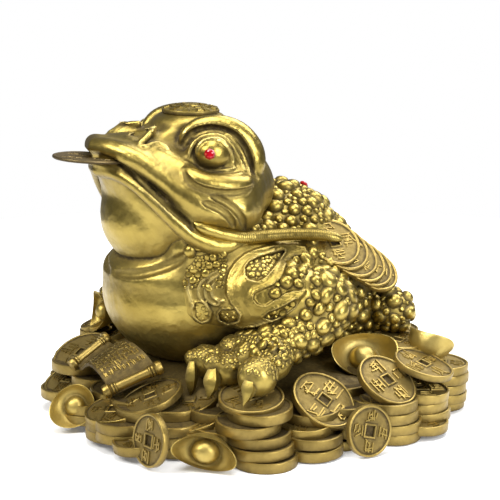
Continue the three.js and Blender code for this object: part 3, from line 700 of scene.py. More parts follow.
def mound_shape():
    """The lumpy metal under the coins, painted dark all over as the shade among the coins."""
    angle, rings = circle(220), []
    profile = [(0.80, 0.4), (0.82, 1.2), (0.81, 9), (0.78, 14), (0.72, 19), (0.64, 23), (0.5, 26), (0.3, 27)]
    for i, (share, z) in enumerate(even_path(profile, 1.6)):
        lump = 1 + 0.016 * np.sin(11 * angle + i) + 0.014 * np.sin(23 * angle + 1.7 * i) \
            + 0.008 * np.sin(41 * angle + 2.9 * i)
        height = z + (0.5 * np.sin(29 * angle + 2.1 * i) if z > 9 else 0)
        rings.append(ring(HOARD_REACH * share * lump, height, angle))
    return skin(rings, [0.82] * len(rings), [(0, 0, 0.4), (0, 0, 28.5)], (0.82, 0.82))


# The scroll

# The rollers' ends nearest and furthest from the rim
LEFT_ROLLER = np.array([(-9.0, -90.6, 23.4), (-10.5, -70.5, 34.5)])
RIGHT_ROLLER = np.array([(27.5, -91.0, 21.0), (33.5, -64.5, 31.0)])
# One half of a roller: share of its length and radius
ROLLER_ROWS = [
    (0, 1.2), (0.012, 2.9), (0.05, 3.3), (0.1, 3.3), (0.125, 2.7), (0.14, 2.3), (0.155, 2.9), (0.175, 2.9),
    (0.19, 2.35), (0.205, 2.75), (0.22, 2.75), (0.235, 2.2),
]
# The sheet's rise in millimetres from roller to roller
SHEET_WAVE = [
    (0, 0.8), (0.06, -0.4), (0.13, -0.8), (0.22, 0.8), (0.34, 3.8), (0.48, 6.4), (0.62, 7.2), (0.76, 6.2),
    (0.89, 3.4), (1, -1.6),
]
SHEET_UP = np.array((0, -0.28, 0.96))


def roller_shape(a, b):
    long = np.linalg.norm(b - a)
    rows = [(r, t * long, 0.75 if r < 2.4 and 0.1 < min(t, 1 - t) < 0.22 else 0.1)
            for t, r in ROLLER_ROWS + [(1 - t, r) for t, r in reversed(ROLLER_ROWS)]]
    return lathe(rows, -0.3, long + 0.3, (0, 0), circle(28))


def sheet_spot(u, v, lift=0.0):
    """A spot on the sheet: u from roller to roller, v from its near end to its far end."""
    near, far = LEFT_ROLLER + (RIGHT_ROLLER - LEFT_ROLLER) * u
    return near + (far - near) * (0.12 + 0.8 * v) + SHEET_UP * (np.interp(u, *np.array(SHEET_WAVE).T) + lift)


def scroll_heap(rng):
    """Two rollers, the sheet between them and its columns of strokes."""
    heap = Heap()
    for a, b in (LEFT_ROLLER, RIGHT_ROLLER):
        heap.add(roller_shape(a, b), axes_of(b - a), a)
    across, along, thick = 40, 16, 1.5
    count, last = 2 * (across + 1), 2 * (across + 1) * along
    rings = [[sheet_spot(i / across, j / along) for i in range(across + 1)]
             + [sheet_spot(i / across, j / along, -thick) for i in range(across, -1, -1)]
             for j in range(along + 1)]
    faces = [face for face in ring_faces(along + 1, count, False) if len(face) == 4]
    for i in range(across):
        near_end = (i, count - 1 - i, count - 2 - i, i + 1)
        faces += [near_end, tuple(last + k for k in reversed(near_end))]
    heap.add((np.concatenate(rings), faces, np.tile(np.repeat((0.88, 0.95), across + 1), along + 1)))
    for column, row, _ in np.ndindex(9, 11, 3):
        u = 0.22 + 0.078 * column + rng.uniform(-0.022, 0.022)
        v = 0.08 + 0.082 * row + rng.uniform(-0.026, 0.026)
        du, dv = (0.022, 0.0) if rng.random() < 0.55 else (0.004, 0.03)
        ends = sheet_spot(u - du, v - dv), sheet_spot(u + du, v + dv)
        heap.add(stroke(*ends, SHEET_UP, 0.26, 0.15, -0.3, 0.5, (0.9, 0.05)))
    return heap


# Whiskers, coins on the flanks, the disc on the crown and the stones

WHISKER = [
    *seen((194, 222.5, 38.5, 0.8), (199, 226, 39.5, 2.2), (209, 230.5, 41, 2.9), (224, 235, 42.6, 3.1),
          (242, 237.6, 43.4, 3.0)),
    (43.2, -20, 87.2, 2.8), (40, -2, 85.6, 2.7), (38.6, 14, 83.4, 2.6), (38.2, 22, 81.4, 2.3),
    (37.8, 27, 79.8, 1.5),
]
RIB_PITCH = 1.05


def whisker_heap():
    """A rope with slanting ribs and a blunt tip."""
    rows, angle = even_path(WHISKER, RIB_PITCH / 4), circle(20)
    rings, tones, across = [], [], np.array((0.3, 0.1, 1.0))
    for i, row in enumerate(rows):
        ahead = rows[min(i + 1, len(rows) - 1), :3] - rows[max(i - 1, 0), :3]
        ahead /= np.linalg.norm(ahead)
        across = across - ahead * (across @ ahead)
        across /= np.linalg.norm(across)
        wave = np.cos(math.pi / 2 * i + 3 * angle) * min(1, max(0.1, (i - 60) / 60))
        r = row[3] * (1 + 0.07 * wave)
        rings.append(row[:3] + np.outer(r * np.cos(angle), across)
                     + np.outer(r * np.sin(angle), np.cross(ahead, across)))
        tones.append(0.9 * np.clip(-wave, 0, 1))
    heap = Heap()
    heap.add(skin(rings, tones, [rows[0, :3], rows[-1, :3] + (rows[-1, :3] - rows[-2, :3]) * 3], (0.5, 0.2)))
    return heap.mirror()


FLANK_AXIS = np.array((0.675, 0.0, 0.736))
FLANK_TOP = FLANK_AXIS @ on_plane((332.5, 243), LEVEL, 78)
FLANK_PX = [(333.5, 242.5), (343, 248.5), (353, 256), (361.5, 261.5), (369, 266.5), (375, 271)]
FLANK_COINS = [on_plane(px, FLANK_AXIS, FLANK_TOP - 1.15 * k) for k, px in enumerate(FLANK_PX)]


def flank_heap():
    heap = Heap()
    for k, place in enumerate(FLANK_COINS):
        for shape in coin_shape(13.2 - 0.3 * k, 31 + k, 2.4, 2.2, 1.4, 0.45):
            heap.add(shape, axes_of(FLANK_AXIS + (0, 0.015 * k, 0), 14 * k), place)
    return heap.mirror()


CROWN_DISC = np.array((0.0, -31.5, 142.3))
CROWN_AXIS = np.array((0.0, 0.03, 1.0))
CROWN_RADIUS = 13.4
CROWN_BULGE = 2.0
# Share of the disc's radius, height and tone
CROWN_ROWS = [
    (0.98, -3.6, 1), (1.0, -2.6, 0.8), (0.98, -1.9, 0.3), (0.9, -1.7, 0.8), (0.7, -0.95, 0.7),
    (0.5, -0.45, 0.7), (0.3, -0.15, 0.7), (0.28, 0.5, 0.2), (0.2, 0.7, 0),
]
# Circles of tiles: shares of the radius where they begin and end, and how many
CROWN_TILES = [(0.34, 0.5, 11), (0.54, 0.72, 16), (0.76, 0.95, 22)]


def crown_heap():
    """A low dome of small tiles round a boss."""
    heap, turn = Heap(), axes_of(CROWN_AXIS)
    rows = [(CROWN_RADIUS * share, z, tone) for share, z, tone in CROWN_ROWS]
    heap.add(lathe(rows, -3.6, 0.75, (0.8, 0), circle(64)), turn, CROWN_DISC)
    for circuit, (near, far, tiles) in enumerate(CROWN_TILES):
        for k in range(tiles):
            if (k + circuit) % 5 == 3:
                continue
            a = 2 * math.pi * (k + 0.35 * circuit) / tiles
            b = a + 2 * math.pi / tiles * 0.8
            block = []
            for z, slim in ((-0.7, 0), (0.75, 0.03)):
                for share in (near + slim * 0.4, far - slim * 0.4):
                    at = np.array((a + slim * 0.6, b - slim * 0.6))
                    block += ring(share * CROWN_RADIUS, z - CROWN_BULGE * share ** 2, at).tolist()
            heap.add((block, BLOCK_FACES, np.repeat((0.9, 0.05), 4)), turn, CROWN_DISC)
    return heap


# A cut stone: shares of its radius for the width and height of each row, and the row's turn in facets
STONE_ROWS = [(0.55, -0.45, 0.5), (1, -0.06, 0), (1, 0.06, 0), (0.8, 0.3, 0.5), (0.52, 0.46, 0)]


def set_stone(name, diameter, middle, axis, facets=8):
    """A cut stone with a table, two rows of facets, a girdle and a pointed back."""
    r, heap = diameter / 2, Heap()
    rings = [ring(r * wide, r * z, circle(facets, turn)) for wide, z, turn in STONE_ROWS]
    tips = [(0, 0, -0.75 * r), (0, 0, 0.46 * r)]
    heap.add(skin(rings, [0] * len(rings), tips, (0, 0)), axes_of(axis), middle)
    dress(new_object("gem_" + name, heap.spots[0], heap.faces), RED, name)


# Warts


def scatter(spots, passes, rng, crowd=0.95):
    """Picks places and radii: each pass fills what room is left with warts of its own sizes."""
    spots = spots[rng.permutation(len(spots))]
    room = np.full(len(spots), FAR)
    picked = []
    for small, large, most in passes:
        limit = len(picked) + most
        for i, spot in enumerate(spots):
            if room[i] < small or len(picked) >= limit:
                continue
            r = min(room[i], rng.uniform(small, large))
            picked.append((*spot, r))
            room = np.minimum(room, np.sqrt(((spots - spot) ** 2).sum(1)) / crowd - r)
    return np.array(picked)


# Shares of a wart's radius and height, and tone: a skirt under the skin, a round body and a worn top; the
# foot is painted dark, patina and painted shade in the crease
LARGE_WART = [
    (1.12, -0.22, 1.0), (0.99, 0.12, 0.85), (0.93, 0.42, 0.4), (0.72, 0.76, 0.08), (0.38, 0.95, 0.0),
]
SMALL_WART = [(1.1, -0.2, 1.0), (0.97, 0.25, 0.6), (0.66, 0.8, 0.05)]
# Passes of warts on the body: least and largest radius, and how many at most
BODY_WARTS = [(3.0, 4.1, 150), (2.0, 2.8, 420), (1.2, 1.7, 420)]


def wart_shape(r, height, rng):
    rows, count = (LARGE_WART, 12) if r > 1.75 else (SMALL_WART, 8)
    angle = circle(count, rng.random())
    lump = 1 + 0.07 * np.sin(2 * angle + rng.uniform(0, 6)) + 0.04 * np.sin(3 * angle + rng.uniform(0, 6))
    rows = [(wide * r, z * r * height, tone) for wide, z, tone in rows]
    return lathe(rows, -0.22 * r * height, r * height, (1, 0), angle, lump)


def add_warts(heap, field, picked, height, rng):
    """Sets warts on a field's surface and darkens the skin round them with patina and painted shade."""
    p = field.settle(picked[:, :3], 2)
    for spot, n, r in zip(p, field.slope(p), picked[:, 3]):
        stretch = np.diag([rng.choice((0.9, 1.0, 1.1, 1.3), p=(0.25, 0.3, 0.3, 0.15)), 1, 1])
        turn = axes_of(n, rng.uniform(0, 360)) @ stretch
        heap.add(wart_shape(r, height * rng.uniform(0.85, 1.15), rng), turn, spot)
    field.stain_and_shade(np.column_stack([p, picked[:, 3] - 0.2]), 1.1, 0.95)


def strew(heap, field, spots, zones, rng):
    """Fills zones with warts, each given as its places, passes of sizes, crowding and height."""
    for where, passes, crowd, height in zones:
        add_warts(heap, field, scatter(spots[where], passes, rng, crowd), height, rng)


def far_from(p, rows):
    """How far points lie from the nearest of some spots."""
    best = np.full(len(p), FAR)
    for row in rows:
        best = np.minimum(best, np.sqrt(((p - np.array(row[:3])) ** 2).sum(1)))
    return best


# Corners of each grid, and of the part of the head's where the nostril lies
HEAD_REACH = (0, -95, 70), (58, 6, 152)
SNOUT_REACH = (0, -84, 112), (30, -50, 142)
BODY_REACH = (0, -82, 18), (88, 108, 112)
SHOULDER_REACH = (20, -72, 38), (80, 22, 96)
FEET_REACH = (28, -68, 15), (92, -6, 52)

# Head

UPPER_LIP = [
    (0, -79.4, 127.0, 3.2), (9, -76.6, 127.0, 3.2), (16, -72.4, 125.0, 3.4), (22, -68, 121.6, 3.5),
    (27, -63, 116.6, 3.5), (31.5, -57.5, 111.2, 3.6), (35.5, -52, 106.4, 3.7), (38.5, -46, 102.6, 4.0),
    (42, -38, 100, 4.2), (44, -30, 100, 4),
]
# The slope from the nostril and the cheek down to the lip
MUZZLE_SIDE = [
    (14, -61, 119.5, 5.5), (20, -57.5, 119, 6.5), (25.5, -51.5, 115.5, 7.5), (29.5, -45.5, 111.5, 8.2),
    (32.5, -38.5, 108, 8.8), (33.5, -32, 106, 9),
]
LOWER_LIP = [
    (0, -78, 116, 3.2), (10, -75.4, 116, 3.2), (19.4, -70.2, 112.4, 3.3), (27.2, -65, 106, 3.4),
    (32.2, -60.2, 99.6, 3.5), (35.8, -55.4, 93.6, 3.7), (38.3, -49.5, 88.4, 4.0), (40.4, -43, 85.4, 4.5),
    (41.6, -36, 84.2, 4.5), (41.5, -29, 85.4, 3.6),
]
JAW = [
    (0, -69, 111, 5), (10, -66, 109.5, 5.5), (17.5, -61.5, 105, 6), (23.5, -56.5, 99, 6),
    (28, -50.5, 93.5, 6.4), (30, -44, 91, 6), (31, -36, 91, 6),
]
MOUTH_LINE = [
    (0, -84, 121.5, 3.0), (9, -81, 121.8, 2.8), (17, -76.5, 119.6, 2.2), (24, -71, 115, 1.8),
    (30, -65.5, 109.5, 1.6), (35, -60, 103.5, 1.5), (38.5, -55, 98.5, 1.4), (42, -49, 95, 1.2),
]
BROW = [
    (18.5, -44.5, 127.5, 2.4), (19, -43.4, 131.6, 3.2), (19.6, -38, 134.6, 4.2), (21.5, -29.5, 134.8, 5.2),
    (24.6, -21.5, 131, 6.2), (27.4, -16.8, 124.6, 6.6), (29.6, -15.8, 118.5, 6), (30.4, -16.6, 114.5, 4.2),
]
# The flap over the nostril, the rim beside it and the ridge that runs up from it to the crown
NOSTRIL = seen((154, 128, 8, 1.4), (149, 132.5, 10.5, 2.4), (144, 138, 12.3, 2.3), (139, 143.5, 13.5, 1.2))
NOSTRIL_RIM = [
    (9.5, -56, 129.6, 1.6), (12.4, -59.6, 132.6, 1.9), (13.4, -62, 132.4, 1.8), (14.4, -65.5, 128, 1.6),
]
CROWN_RIDGE = [(9.4, -57, 126.5, 2.5), (10, -52, 128.5, 3), (9.6, -46, 130.5, 3), (7.5, -40, 132, 2)]
EYE = (30.0, -36.5, 124.0)
EYE_RADIUS = 8.2
GAZE = np.array((0.78, -0.6, 0.14)) / np.linalg.norm((0.78, -0.6, 0.14))

# Lines of the photograph, in pixels of its 500 x 500 frame. The lids, and last the pouch below the eye, come
# with a radius, a rise and how soft they are
EYE_RIDGES = [
    ([(189.7, 142.8), (197.4, 136.1), (210.8, 132.4), (223.2, 134.2), (233.8, 142.4), (241.6, 154.3),
      (248.3, 171.5), (250.5, 176.3)], 1.2, 1.3, 0.5),
    ([(188.3, 157.2), (191.7, 147.1), (199.3, 138.9), (210.8, 135.6), (221.3, 137.4), (230.9, 144.9),
      (237.6, 156.2), (245.2, 171.5)], 1.1, 1.2, 0.4),
    ([(196.4, 156.2), (197.4, 148.6), (203.1, 141.4), (212.7, 138.9), (222.3, 141.2), (229.9, 150.5),
      (233.3, 160.1), (233.3, 166.3)], 0.9, 1.0, 0.4),
    ([(186, 162), (193.6, 168.1), (201.2, 172.9), (212.7, 175.6), (231.8, 176.3), (243, 173)], 1.3, 1.2, 0.5),
    ([(201.2, 168.9), (213.7, 170.6), (226.1, 170.6), (235.7, 168)], 0.9, 0.9, 0.4),
    ([(186.8, 171.5), (195.5, 179.4), (209.7, 184.2), (226.1, 185.9),
      (240.4, 185.2), (249.5, 180.4)], 4.4, 2.0, 2.0),
]
POUCH_GROOVE_PX = [
    (183, 170), (188.5, 181), (198.3, 187.6), (212.7, 191.9), (228.1, 193.4), (243.4, 191.9), (253, 187),
]
BROW_GROOVE_PX = [
    (181.2, 146), (186.5, 138), (195.5, 132), (208, 128.9), (221.3, 129.9), (233.8, 135.2), (243.3, 146.7),
    (248.1, 158.1), (252, 171.5), (257.5, 177.2),
]
CHEEK_GROOVES_PX = [
    [(211, 196.4), (222.9, 200.8), (234.2, 208.6), (241.9, 218.4), (245.4, 230.3)],
    [(202.6, 202), (215.9, 207.2), (225.7, 213.5), (232.1, 221.9), (234.2, 228.2)],
]
MOUTH_PX = [
    (114, 160), (122, 165.5), (132, 172.5), (142, 180.5), (152, 189.5), (161, 198.5), (170, 207.5),
    (180, 216), (188, 223), (193, 229),
]
NOSTRIL_HOLLOW_PX = [
    (128.8, 135.2), (139, 131.8), (149.5, 128.6), (147, 133.5), (142.4, 138.5), (138.8, 141.8),
    (134.5, 138.6),
]
NOSTRIL_RIDGE_PX = [(153, 130), (149, 134.5), (144, 140), (138.4, 144.8)]
NOSTRIL_EDGE_PX = [
    (138.4, 144.8), (142.5, 147.2), (147.5, 147), (152, 144.8), (158, 144.4), (164, 146.6), (169, 150.5),
]
JOWL_PX = [(190.7, 247), (197, 255.5), (206.4, 261.5), (220.7, 263.5), (235, 257), (249.3, 247)]
# Rise in millimetres by how many pixels inside the outline
NOSTRIL_PROFILE = [(-0.8, 0), (0.6, -0.9), (2.4, -2.0), (5, -2.2)]


def head_masses(f):
    f.add(egg((0, -44.4, 92.5), (29.8, 30.8, 26.5)))
    f.add(egg((0, -60, 102), (20, 11.5, 13)), 5)
    f.add(tube(JAW), 6)
    f.add(egg((22, -43, 96), (14, 16, 14)), 6)
    f.add(egg((0, -26, 107), (37, 33, 24), turn_x(-12)), 6)
    f.add(egg((0, -33, 123), (20, 20, 16.4)), 5)
    f.add(egg((0, -59, 119.4), (23, 23, 12), turn_x(-8)), 8)
    f.add(egg((28, -34, 103), (17, 22, 15)), 8)
    f.add(tube(MUZZLE_SIDE), 7)
    f.add(tube(UPPER_LIP), 5.5)
    f.add(egg((0, -32, 135), (17, 17, 5.8)), 3)
    f.add(tube(LOWER_LIP), 1.2)
    f.add(tube(MOUTH_LINE), 1.2, -1)
    f.add(egg((27, -35, 121), (9, 13, 12)), 3)
    f.add(tube(BROW), 1.6)
    f.add(egg((32, -28, 97.5), (12.5, 13.5, 11)), 5)
    f.add(tube(NOSTRIL), 1.8)
    f.add(tube(NOSTRIL_RIM), 1.4)
    f.add(tube(CROWN_RIDGE), 4)


def head_field():
    f = Field(*HEAD_REACH, CELL_HEAD)
    head_masses(f)
    groove(f, BROW_GROOVE_PX, 1.4, 1.6, 0.8)
    f.add(egg(EYE + GAZE * 7.5, (10.5, 10.5, 5.5), axes_of(GAZE)), 2.0, -1)
    f.add(egg(EYE, (EYE_RADIUS,) * 3), 0.2)
    for path, radius, rise, soft in EYE_RIDGES:
        ridge(f, path, radius, rise, soft)
    groove(f, POUCH_GROOVE_PX, 1.3, 1.5, 0.8)
    for path in CHEEK_GROOVES_PX:
        groove(f, path, 1.4, 1.5, 0.8)
    groove(f, MOUTH_PX, 1.5, 2.6, 0.7, 0.5)
    ridge(f, JOWL_PX, 2.6, 1.2, 1.6, 0.3)
    emboss(f, NOSTRIL_HOLLOW_PX, NOSTRIL_PROFILE, SNOUT_REACH)
    ridge(f, NOSTRIL_RIDGE_PX, 1.3, 1.4, 0.6)
    ridge(f, NOSTRIL_EDGE_PX, 1.1, 1.3, 0.6, 0.4)
    return f


# Body

UPPER_ARM = [(30, -22, 72, 18), (46, -26, 62, 16.5), (54, -13, 60, 15),
             *seen((315, 297, 57, 12.5), (329, 302, 59, 10.4))]
FOREARM = seen((329, 307, 60, 10.4), (317, 320, 62, 10.4), (299, 333, 64, 10.2), (280, 343, 65, 9.8),
               (264, 350, 64, 9))
HIND_LEG = [(0, 48, 38, 20), (0, 66, 35, 15), (0, 78, 29, 11.5), (0, 83, 20, 8.5)]
TOES = [
    seen((281, 345, 66, 8.4), (274, 364, 74, 7.0), (266, 371, 77, 5.4), (257.5, 377.5, 78.4, 8.0),
         (255, 380, 78.4, 6.8)),
    seen((266, 349, 63, 8), (248, 358, 62, 6.6), (237.5, 363.5, 61, 5.0), (227.5, 370.5, 59.4, 7.6),
         (225.5, 372.5, 59.4, 6.4)),
    seen((254, 346, 58, 7.6), (233, 350, 51, 5.8), (220.5, 355, 47, 4.5), (205.5, 361.5, 42.4, 6.8),
         (204, 363, 42.4, 5.8)),
]
# Claws: half the width in place of the radius
CLAWS = [
    seen((251, 372.5, 80.5, 0.5), (250.3, 379, 82.4, 2.0), (249.3, 388, 84.2, 3.4), (247.3, 396.5, 84.6, 2.4),
         (243.4, 405.5, 84, 0.25)),
    seen((214, 361.5, 61, 0.5), (213.2, 369.5, 63.4, 2.3), (212.2, 381, 65.6, 3.9), (210.8, 390, 66, 2.6),
         (207.6, 398.5, 65.2, 0.25)),
    seen((193, 354.5, 43, 0.5), (192.4, 364, 45.2, 1.9), (192, 376.5, 47, 3.0), (191.5, 386.5, 47.4, 2.1),
         (190.4, 395.5, 47, 0.25)),
]
CLAW_SECTION = [
    (1, -0.12), (0.35, 0.27), (-0.3, 0.64), (-0.66, 0.24), (-1, -0.12), (-0.6, -0.6), (0, -0.8), (0.6, -0.6),
]
CLAW_KEEL = np.array((0.93, -0.25, 0.25))
# The belly and the throat, where no warts stand, and the carved part of the shoulder
SMOOTH_PX = [
    (60, 150), (186, 215), (188, 276), (186, 318), (214, 326), (238, 333), (264, 332), (266, 344), (254, 352),
    (150, 420), (60, 400),
]
SHOULDER_PX = [
    (183, 266), (196, 252), (222, 246), (250, 240), (283, 237), (306, 240), (319, 250), (319, 264),
    (309, 280), (311, 296), (296, 312), (284, 323), (262, 331), (240, 333), (214, 329), (194, 326),
    (184, 316), (180, 296), (180, 278),
]
# The flame on the shoulder: its outline, the hollows in it and the loops and curls before it
FLAME_PX = [
    (305.5, 245.9), (294.4, 243.6), (281.6, 244.3), (268.9, 245.9), (256.1, 249.1), (244.9, 253.9),
    (235.4, 261.9), (229, 271.5), (225.8, 282.6), (226.6, 293.8), (230.6, 303.3), (236.2, 309.7),
    (239.4, 316.1), (237.8, 321.2), (230.6, 323.3), (240.2, 328.9), (256.1, 327.3), (268.9, 323.3),
    (278.4, 319.3), (281.6, 316.1), (291.2, 306.5), (304.7, 293), (305.5, 290.6), (294.4, 290.6),
    (284.8, 293.8), (275.2, 300.2), (265.7, 306.2), (257.7, 304.9), (252.6, 298.6), (254.5, 293),
    (264.1, 288.2), (273.6, 284.2), (281.6, 277.8), (285.6, 265.1), (292.8, 257.1), (302.3, 254.7),
    (314.3, 259), (307.1, 250.7),
]
FLAME_HOLLOW_PX = [
    (246.2, 275.4), (245.6, 268.3), (249.7, 261.9), (259.3, 257.1), (272, 253.9), (284.8, 250.7),
    (281.6, 255.5), (275.2, 264.3), (265.7, 276.2), (257.7, 280.7), (249.7, 279.4),
]
FLAME_LOW_HOLLOW_PX = [
    (263.8, 317.4), (268.9, 312.9), (281.6, 307.8), (297.6, 298.6), (294.4, 306.5), (281.6, 316.1),
    (272, 319.6),
]
LOOPS_PX = [
    [(219.7, 313.7), (220.7, 319.3), (228.2, 322.8), (237.8, 320.6), (238.9, 315.8), (234.6, 310.5),
     (227.4, 311), (222.6, 310.5), (219.7, 313.7)],
    [(193.9, 309.7), (196.3, 316.9), (201.9, 321.2), (208.3, 318.5), (209.5, 312.1), (205.9, 306.5),
     (200.3, 303.3), (195.5, 304.1), (193.9, 309.7)],
]
CURLS_PX = [
    [(216.2, 271.8), (207.5, 277), (200.3, 284.2), (198.4, 293), (201.9, 300.2), (207.9, 306.5),
     (209.9, 313.7), (207.9, 319.3)],
    [(218.6, 275.4), (210.7, 280.2), (205.9, 287.4), (205.4, 295.4), (209.9, 301.7), (217.8, 304.9),
     (222.6, 300.2)],
    [(189.1, 277.8), (188.3, 289), (190.7, 298.6), (193.9, 308.1), (196.3, 316.9)],
    [(214.6, 282.6), (211.8, 289), (212.3, 295.4), (217.8, 300.2), (225, 301)],
]
NECK_CREASE_PX = [
    (105.1, 262.6), (110.7, 271), (123.3, 273.8), (140.2, 273.1), (159.8, 268.2), (176.6, 261.2),
    (187.9, 252.8),
]
WRIST_CURL_PX = [
    [(256, 349), (257, 341), (264, 336), (273, 336.5), (280, 342), (282, 350), (278, 357), (271, 359)],
    [(262, 351), (263, 345), (269, 342), (274.5, 345.5), (274, 351.5), (268.5, 352.5)],
]
# Rise in millimetres by how many pixels inside an outline
FLAME_PROFILE = [
    (-1.2, 0), (-0.2, 1.1), (0.5, 1.7), (1.2, 1.75), (2.0, 1.3), (2.8, 1.2), (3.4, 1.45), (4.0, 1.45),
    (4.6, 1.15), (8, 1.15), (14, 1.6),
]
HOLLOW_PROFILE = [(-2.8, 0), (-2.0, 0.55), (-1.2, 0.6), (-0.4, 0), (0.3, -1.4), (0.9, -1.6), (9, -1.4)]
LOOP_PROFILE = [(-3.4, 0), (-2.6, 0.9), (-1.6, 1.0), (-0.8, 0.4), (0, -0.6), (0.8, -0.7), (9, -0.5)]
BACK_STONES = {name: box_middle(name) - SHIFT for name in [f"back_stone_{i}" for i in range(1, 8)]}


def body_masses(f):
    f.add(egg((0, 15, 54.5), (49, 56, 35), turn_x(-28)))
    f.add(egg((0, 22, 79), (30, 29, 16.5), turn_x(-30)), 10)
    f.add(egg((0, -28, 56), (45, 45.5, 36.5)), 14)
    f.add(egg((0, 46, 36), (37, 28, 24), turn_x(-12)), 14)
    f.add(egg((0, -33, 68), (38.6, 39.0, 9)), 6)
    f.add(egg((26, -35, 83), (18, 21, 16)), 7)
    f.add(egg((0, 14, 88), (25, 20, 12)), 8)
    f.add(egg((44, 53, 43.2), (9.6, 9.6, 9.2)), 2.0)
    f.add(tube(HIND_LEG), 8)
    f.add(tube(UPPER_ARM), 8)
    f.add(tube(FOREARM), 2.5)


def warty(field, p):
    """Where warts may stand: not on belly, throat, shoulder carving, coins, whiskers or stones."""
    u, v = photo_of(*p.T)
    smooth = outline_distance(u, v, SMOOTH_PX) < 0
    carved = (outline_distance(u, v, SHOULDER_PX) < 1) & (p[:, 1] < 14)
    bare = np.where(field.slope(p) @ BACK > 0.02, smooth | carved, p[:, 1] < 8)
    return (~bare & (p[:, 2] > 24) & (far_from(p, FLANK_COINS) > 11.5)
            & (far_from(p, even_path(WHISKER, 2.0)) > 4.4)
            & (far_from(p, np.abs(list(BACK_STONES.values()))) > 4.6))


def body_field(warts):
    f = Field(*BODY_REACH, CELL_BODY)
    body_masses(f)
    groove(f, NECK_CREASE_PX, 1.8, 1.6, 1.2)
    seats = f.settle(np.abs(list(BACK_STONES.values())))
    for spot, n in zip(seats, f.slope(seats)):
        f.add(egg(spot, (3.4, 3.4, 1.8), axes_of(n)), 0.8)
    spots = f.near_surface()
    strew(warts, f, spots, [(warty(f, spots), BODY_WARTS, 0.96, 0.76)], np.random.default_rng(7))
    return f


def carving_warts(warts, f):
    """Fine warts in the hollows of the carving and on the skin beside it."""
    spots = f.near_surface()
    spots = spots[f.slope(spots) @ BACK > 0.1]
    u, v = photo_of(*spots.T)
    from_flame, from_edge = outline_distance(u, v, FLAME_PX), outline_distance(u, v, SHOULDER_PX)
    bare = (from_flame > 2.5) & (from_edge < -5) & (~((v > 312) & (u < 262)) | (from_flame > 60))
    for path in CURLS_PX + LOOPS_PX:
        for a, b in even_path(path, 2.0):
            bare &= (u - a) ** 2 + (v - b) ** 2 > 9
    wells = [(FLAME_HOLLOW_PX, 1.8), (FLAME_LOW_HOLLOW_PX, 1.4)] + [(loop, 2.2) for loop in LOOPS_PX]
    hollow = np.any([outline_distance(u, v, outline) < -within for outline, within in wells], axis=0)
    strew(warts, f, spots, [
        (hollow, [(1.2, 1.8, 40), (0.6, 1.0, 160)], 0.95, 0.7),
        (bare & (u < 226) & (v < 288), [(1.5, 2.1, 16), (0.7, 1.0, 50)], 0.8, 0.7),
        (bare & (u > 272) & (v > 252), [(2.4, 3.4, 30), (1.4, 2.1, 60)], 0.95, 0.82),
    ], np.random.default_rng(3))


def shoulder_field(warts):
    """The carving on the shoulder, a fine shell that sinks into the body at its edge."""
    f = Field(*SHOULDER_REACH, CELL_CARVING)
    body_masses(f)
    base = f.d.copy()
    f.d -= 0.25
    for outline in LOOPS_PX:
        emboss(f, outline, LOOP_PROFILE, SHOULDER_REACH)
    emboss(f, FLAME_PX, FLAME_PROFILE, SHOULDER_REACH)
    for outline in (FLAME_HOLLOW_PX, FLAME_LOW_HOLLOW_PX):
        emboss(f, outline, HOLLOW_PROFILE, SHOULDER_REACH)
    for path in CURLS_PX:
        ridge(f, path, 0.7, 0.8, 0.3, 0.6)
    carving_warts(warts, f)
    _, (x, y, z) = f.window(*SHOULDER_REACH)
    edge = outline_distance(*photo_of(x, y, z), SHOULDER_PX) * 0.48
    sink = np.clip(1.2 + edge * 0.5, 0, 2.4)
    f.d = np.maximum(np.maximum(f.d + sink, edge), -(base + 5.0)).astype(np.float32)
    return f


def feet_field(warts):
    """The hands: toes with scaly skin and large curved claws."""
    f = Field(*FEET_REACH, CELL_CARVING)
    f.add(tube(FOREARM))
    for toe in TOES:
        f.add(tube(toe), 2.2)
    for toe in TOES:
        for x, y, z, r in (toe[1], toe[3]):
            f.add(egg((x, y, z + 0.3), (r * 1.08,) * 3), 0.6)
    for claw in CLAWS:
        x, y, z, _ = claw[1]
        f.add(egg((x - 3.2, y + 1.6, z + 1.6), (claw[2][3] * 1.15,) * 3), 2.5)
    for path in WRIST_CURL_PX:
        ridge(f, path, 0.9, 0.9, 0.3)
    spots = f.near_surface()
    y, up = spots[:, 1], f.slope(spots)[:, 2]
    strew(warts, f, spots, [
        ((up > 0.1) & (y < -13) & (y > -38), [(1.7, 2.5, 40), (0.9, 1.3, 120)], 0.85, 0.5),
        ((up > 0.35) & (y <= -37) & (y > -58), [(1.0, 1.6, 46), (0.6, 0.9, 200)], 0.8, 0.3),
    ], np.random.default_rng(11))
    for claw in CLAWS:
        warts.add(claw_shape(claw))
        # The skin round the claws' roots is painted darker: painted shade and patina.
        f.stain_and_shade([(x, y, z, r * 0.8) for x, y, z, r in claw[:3]], 1.8, 0.8)
    return f


def claw_shape(rows):
    """A broad curved claw with a keel along its back."""
    rows = even_path(rows, 1.2)
    ahead = np.gradient(rows[:, :3], axis=0)
    ahead /= np.linalg.norm(ahead, axis=1, keepdims=True)
    rings = []
    for row, way in zip(rows, ahead):
        up = CLAW_KEEL - way * (CLAW_KEEL @ way)
        up /= np.linalg.norm(up)
        rings.append([row[:3] + (np.cross(way, up) * a + up * b * 0.85) * row[3] for a, b in CLAW_SECTION])
    # The claw's underside is painted darker than its back: painted shade.
    tones = [[0.8 if b < 0 else 0.15 for _, b in CLAW_SECTION]] * len(rows)
    return skin(rings, tones, [rows[0, :3], rows[-1, :3] + ahead[-1] * 0.6], (1, 0))


# Looks

OLIVE = (0.27, 0.195, 0.042)
GOLD = (0.44, 0.332, 0.085)
PALE = (0.78, 0.64, 0.27)
DARK = (0.03, 0.018, 0.005)
WHITE = (1, 1, 1)


